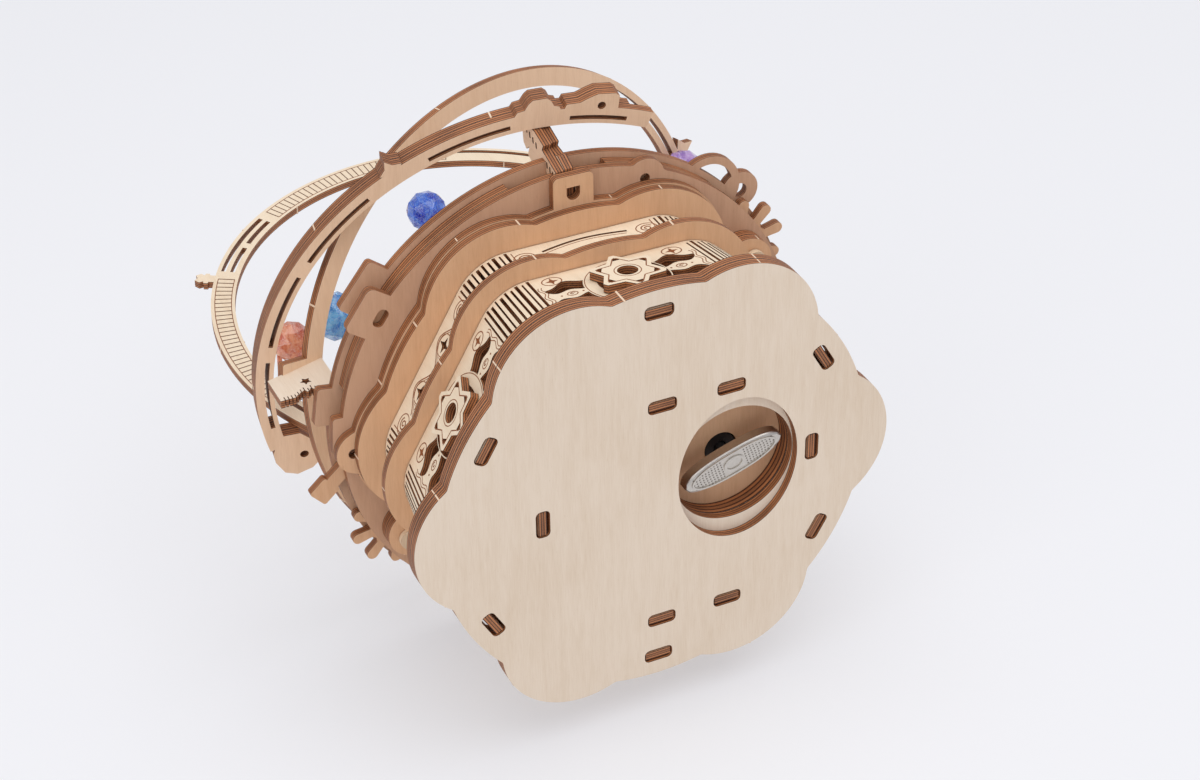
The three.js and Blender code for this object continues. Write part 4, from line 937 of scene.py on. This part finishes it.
def keyRelief(name, loops, voids=()):
    thick, low = key["relief"]
    cutSheet(name, loops, voids, thick=thick, low=low, spot=placed(keyPlace), metal=metals["nickel"], body="winder",
             slot="nickel")


seat(newPiece("windingKeyFine", keyBody()), "winder", ["winding_key"])
repeatAlong("keyDots", keyRows(), {"spacing": 0.95, "size": (0.5, 0.5, 0.22), "round": True, "lift": key["low"],
                                   "material": metals["keyDotPaintedShade"]}, keyPlace, "winder")
rimTurns = [math.sin(math.pi * t / key["rimStep"] / 2) for t in range(-key["rimStep"], key["rimStep"] + 1)]
keyRelief("keyRim", [ribbonLoop([(key["rimHalf"] * t, side * (key["rimShare"] * keyHalf(t))) for t in rimTurns],
                                key["rimWide"]) for side in (-1, 1)])
keyRelief("keyBoss", [ovalLoop(0, 0, 3.2, 2.3, 32), barLoop(-1.6, 1.6, 0.6, 20)], [ovalLoop(0, 0, 2.5, 1.6, 32)])

# Ribs: their burnt tab ends show in the base slots
ribs = {"foot": 5.4, "top": 26.7, "half": 1.2, "window": (7, 12, 2),
        "each": {"front": (0, -27.6, 0, -22, 44, (1, 21.6)), "back": (0, 44.7, 0, -30, 30, (1, 21.6)),
                 "right": (47.1, 0, 90, -18, 18, (0,)), "left": (-34.3, 0, 90, -22, 22, (0,))}}
for side, (x, y, turn, left, right, tabs) in ribs["each"].items():
    tabLoops = [boxLoop(t - wallTab["half"], wallTab["deep"], t + wallTab["half"], 1) for t in tabs]
    windows = [moved(roundedBox(*ribs["window"]), c, 14) for c in (left + 8, right - 8)]
    place = upright(x, y, ribs["foot"], turn) @ Matrix.Translation((0, 0, -ribs["half"]))
    cutSheet(f"rib_{side}Fine", [boxLoop(left, 0, right, ribs["top"]), *tabLoops], windows, [f"rib_{side}"],
             spot=placed(place), tones=paintedShadeSheet)

# Front arm of two plies with rows of small slots; its stepped outer edge differs from ply to ply
arm = {"foot": 55.2, "slot": (1.9, 0.85, 0.2, 2),
       "rows": [((75.7, 18.6), (73.7, 12.4)), ((71.0, 5.4), (69.4, -0.2))],
       "inner": [(77.9, 20.3), (74.3, 21.6), (70.6, 21.2), (69.3, 19.4), (71.1, 17.2), (68, 18.4), (66.6, 15.2),
                 (65.7, 11), (62, 8.5), (60, 8.5), (60, 0)],
       "plies": {"Left": (-0.15, [(71.4, 0), (74.2, 8.6), (75.9, 7.6), (78.9, 17.9)]),
                 "Right": (2.55, [(71.7, 0), (73.7, 4.4), (73.2, 6.0), (73.7, 9.8), (75.4, 9.0), (78.6, 19)])}}
armTurn = rotation(armAngle, "Z")

# The band's cross-section where it meets the arm is cut out of it, with a small gap all round
bandRoom = []
for radius, depth in ((78.4, -0.4), (84.4, -0.4), (84.4, 5.5), (78.4, 5.5)):
    corner = armTurn.inverted() @ (bandPlace @ Vector((*polar(radius, armAngle), depth)))
    bandRoom.append((corner.x, corner.z - arm["foot"]))
armSlots = [moved(roundedBox(*arm["slot"]), *Vector(start).lerp(Vector(end), index / 3), 4)
            for start, end in arm["rows"] for index in range(4)]
for ply, (aside, outer) in arm["plies"].items():
    cutSheet("frontArm" + ply, [outer + arm["inner"]], [*armSlots, bandRoom], ["front_arm_" + ply.lower()], stacked,
             spot=placed(armTurn @ upright(0, aside, arm["foot"])), tones=warmSheet)

# Foot plate: a stepped lower edge cut like a comb carries the orbit ring
foot = {"y": -13, "low": 63.9, "near": -66.5, "far": -84.0, "margin": 0.8, "tooth": (0.42, 0.72, 1.5),
        "rises": [0, 0, 0, 0, 0.8, 1.6, 2.2, 1.4, 2.4, 1.6, 0.8, 0, 0, 0, 0]}
comb = []
combLong = foot["near"] - foot["far"] - 2 * foot["margin"]
start, end, deep = foot["tooth"]
for index, rise in enumerate(foot["rises"]):
    left = foot["far"] + foot["margin"] + index * combLong / len(foot["rises"])
    comb += [(left, rise), (left + start, rise), (left + start, rise + deep), (left + end, rise + deep),
             (left + end, rise)]
footTop = (orbitPlace @ Vector((*polar(78, orbit["tab"]), 0))).z - foot["low"] - 0.6
footLoop = [(foot["far"], 0), *comb, (foot["near"], 0), (foot["near"], footTop + 3.4),
            (foot["far"], footTop - 1.6)]
cutSheet("footPlateFine", [footLoop], [starLoop(5, 1.7, 0.9, -74.5, 6.4, 40)], ["foot_plate"],
         spot=placed(upright(0, foot["y"], foot["low"])), tones=underPaintedShade)

# Planet arms: curved spokes on a pierced hub, each given as its angle, reach and bow
spokes = {"level": 93.8, "hub": 5, "start": 3, "steps": 14, "root": 4.2, "tip": 2.6,
          "arms": [(-121, 45.8, 3.0), (-162.8, 51.4, 3.0), (64, 42.3, 3.0), (-14, 36.9, 0.0)]}


def spokeLoop(at, reach, bow):
    shares = [step / spokes["steps"] for step in range(spokes["steps"] + 1)]
    line = [polar(spokes["start"] + (reach - spokes["start"]) * share, at)
            + polar(bow * math.sin(math.pi * share), at + 90) for share in shares]
    return ribbonLoop(line, spokes["root"], spokes["tip"])


cutSheet("planetArmsFine", [ovalLoop(0, 0, spokes["hub"]), *[spokeLoop(*each) for each in spokes["arms"]]],
         [starLoop(6, 1.6, 0.9, turn=0)], ["planet_arms"], low=spokes["level"], body="rotor")

# Torn marks round the plates and rings
for name, outline in outlines.items():
    low = levels[name]
    tornMarks(name + "TornMarks", [outline + outline[:1]], low, spacing=37.0 + low / 9, seed=int(low) + 2)
tornMarks("archTornMarks", [ovalLoop(0, 0, radius, steps=120)[:60] for radius in arch["edges"]], 0, archPlace, 57)
tornMarks("bandTornMarks", [[polar(radius, a) for a in range(-180, -98, 2)] for radius in band["edges"]], band["ply"],
          bandPlace, 43)
tornMarks("orbitTornMarks", [ovalLoop(0, 0, orbit[side], steps=120) for side in ("outer", "inner")], 0, orbitPlace,
          63)

# Sky blue bead, set where the photo shows it
skyBead = {"ring": 58.9, "angle": -162.8, "rise": 95.0}
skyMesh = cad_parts["planet_sky_blue"].data.copy()
skyMiddle = sum((v.co for v in skyMesh.vertices), Vector()) / len(skyMesh.vertices)
skyPlace = Vector((*polar(skyBead["ring"], skyBead["angle"]), skyBead["rise"])) * mm
skyMesh.transform(Matrix.Translation(skyPlace - skyMiddle))
skyPiece = newPiece("skyBlueBead", skyMesh)
recoat(skyPiece, beads["sky_blue"])
seat(skyPiece, "rotor", ["planet_sky_blue"])

# Dark collar of the winding shaft in the key's recess; its near-black tone is painted shade for the dark shaft hole
collar = {"radius": 4.6, "bore": 2.0, "low": 10.8, "thick": 2.6}
cutSheet("shaftCollar", [roundKey(collar["radius"], steps=64)], [roundKey(collar["bore"], steps=32)],
         thick=collar["thick"], low=collar["low"], metal=metals["collarPaintedShade"], body="winder", slot="steel")
print("arms done")

# Carried-over nodes get their finish
carried = [
    (metals["steel"], ["winding_arbor", "comb", "rotor_shaft"]),
    (metals["brass"], ["spring_barrel", "movement_bed", "pinned_cylinder", "comb_block", "governor"]),
    (beads["amber"], ["planet_amber", "sun"]),
    (woodTones["plain"], ["side_axle_right", "side_axle_left", "drive_pinion", "centre_pinion"]),
    *[(beads[tone], ["planet_" + tone]) for tone in ("cobalt", "emerald")],
    *[(beads[tone], ["bead_" + tone]) for tone in ("orange", "lavender", "purple")],
]
for material, nodes in carried:
    for node in nodes:
        recoat(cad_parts[node], material)
print("finishes done")

# Camera, floor and light
camera = {"lens": 75.42, "sensor": 36, "clip": (0.01, 20), "location": (-0.2432, -0.4049, -0.4886),
          "right": (0.904, 0.011, -0.427), "ahead": (0.347, 0.563, 0.750)}
lensData = bpy.data.cameras.new("photoLens")
lensData.lens = camera["lens"]
lensData.sensor_width = camera["sensor"]
lensData.clip_start, lensData.clip_end = camera["clip"]
photoCamera = newPiece("photoCamera", lensData)
back = -Vector(camera["ahead"]).normalized()
right = Vector(camera["right"])
right = (right - back * right.dot(back)).normalized()
turn = Matrix((right, back.cross(right), back)).transposed().to_4x4()
photoCamera.matrix_world = Matrix.Translation(camera["location"]) @ turn
bpy.context.scene.camera = photoCamera

# The floor glows a little, like a lit studio sheet, and is clear from behind
floor = {"y": 0.0768, "half": 3.0}
floorLooks = {"Base Color": (0.44, 0.44, 0.45), "Roughness": 0.9, "Emission Color": linear(236, 236, 239),
              "Emission Strength": 0.5}
floorMesh = bpy.data.meshes.new("floor")
floorMesh.from_pydata([(x, floor["y"], z) for x, z in boxLoop(-floor["half"], -floor["half"], floor["half"],
                                                              floor["half"])], [], [[0, 1, 2, 3]])
floorPiece = newPiece("paleFloor", floorMesh)
floorMaterial, floorTree, _ = newMaterial("paleFloor")
finish(floorMaterial, floorLooks)
behind = addNode(floorTree, "ShaderNodeNewGeometry").outputs["Backfacing"]
clear = addNode(floorTree, "ShaderNodeBsdfTransparent").outputs[0]
choose = addNode(floorTree, "ShaderNodeMixShader", {0: behind, 1: floorTree.nodes["Principled BSDF"].outputs[0],
                                                    2: clear})
put(floorTree, floorTree.nodes["Material Output"].inputs["Surface"], choose.outputs[0])
floorMesh.materials.append(floorMaterial)
floorPiece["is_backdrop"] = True
lampTarget = (0, 0, 0.08)


def softLamp(name, location, size, power):
    data = bpy.data.lights.new(name, "AREA")
    data.energy = power
    data.size = size
    lamp = newPiece(name, data)
    lamp.location = location
    lamp.rotation_euler = (Vector(lampTarget) - Vector(location)).to_track_quat("-Z", "Y").to_euler()


softLamp("overheadSoftbox", (0.1, -1.1, -0.1), 1.4, 9.1)
softLamp("leftSoftbox", (-1.0, -0.6, -0.6), 0.9, 3.4)

# The room lights the piece with a cool grey, and the camera sees a paler backdrop
world = bpy.data.worlds.new("studio")
bpy.context.scene.world = world
world.use_nodes = True
sky = world.node_tree
background = sky.nodes["Background"]
put(sky, background.inputs["Color"], linear(238, 240, 248))
put(sky, background.inputs["Strength"], 0.62)
backdrop = addNode(sky, "ShaderNodeBackground", {"Color": linear(236, 237, 241)})
sight = addNode(sky, "ShaderNodeLightPath").outputs
seen = mathNode(sky, "MAXIMUM", sight["Is Camera Ray"], sight["Is Transmission Ray"])
either = addNode(sky, "ShaderNodeMixShader", {0: seen, 1: background.outputs[0], 2: backdrop.outputs[0]})
put(sky, sky.nodes["World Output"].inputs["Surface"], either.outputs[0])
bpy.context.scene.view_settings.view_transform = "Standard"
print("studio done")

low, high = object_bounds()
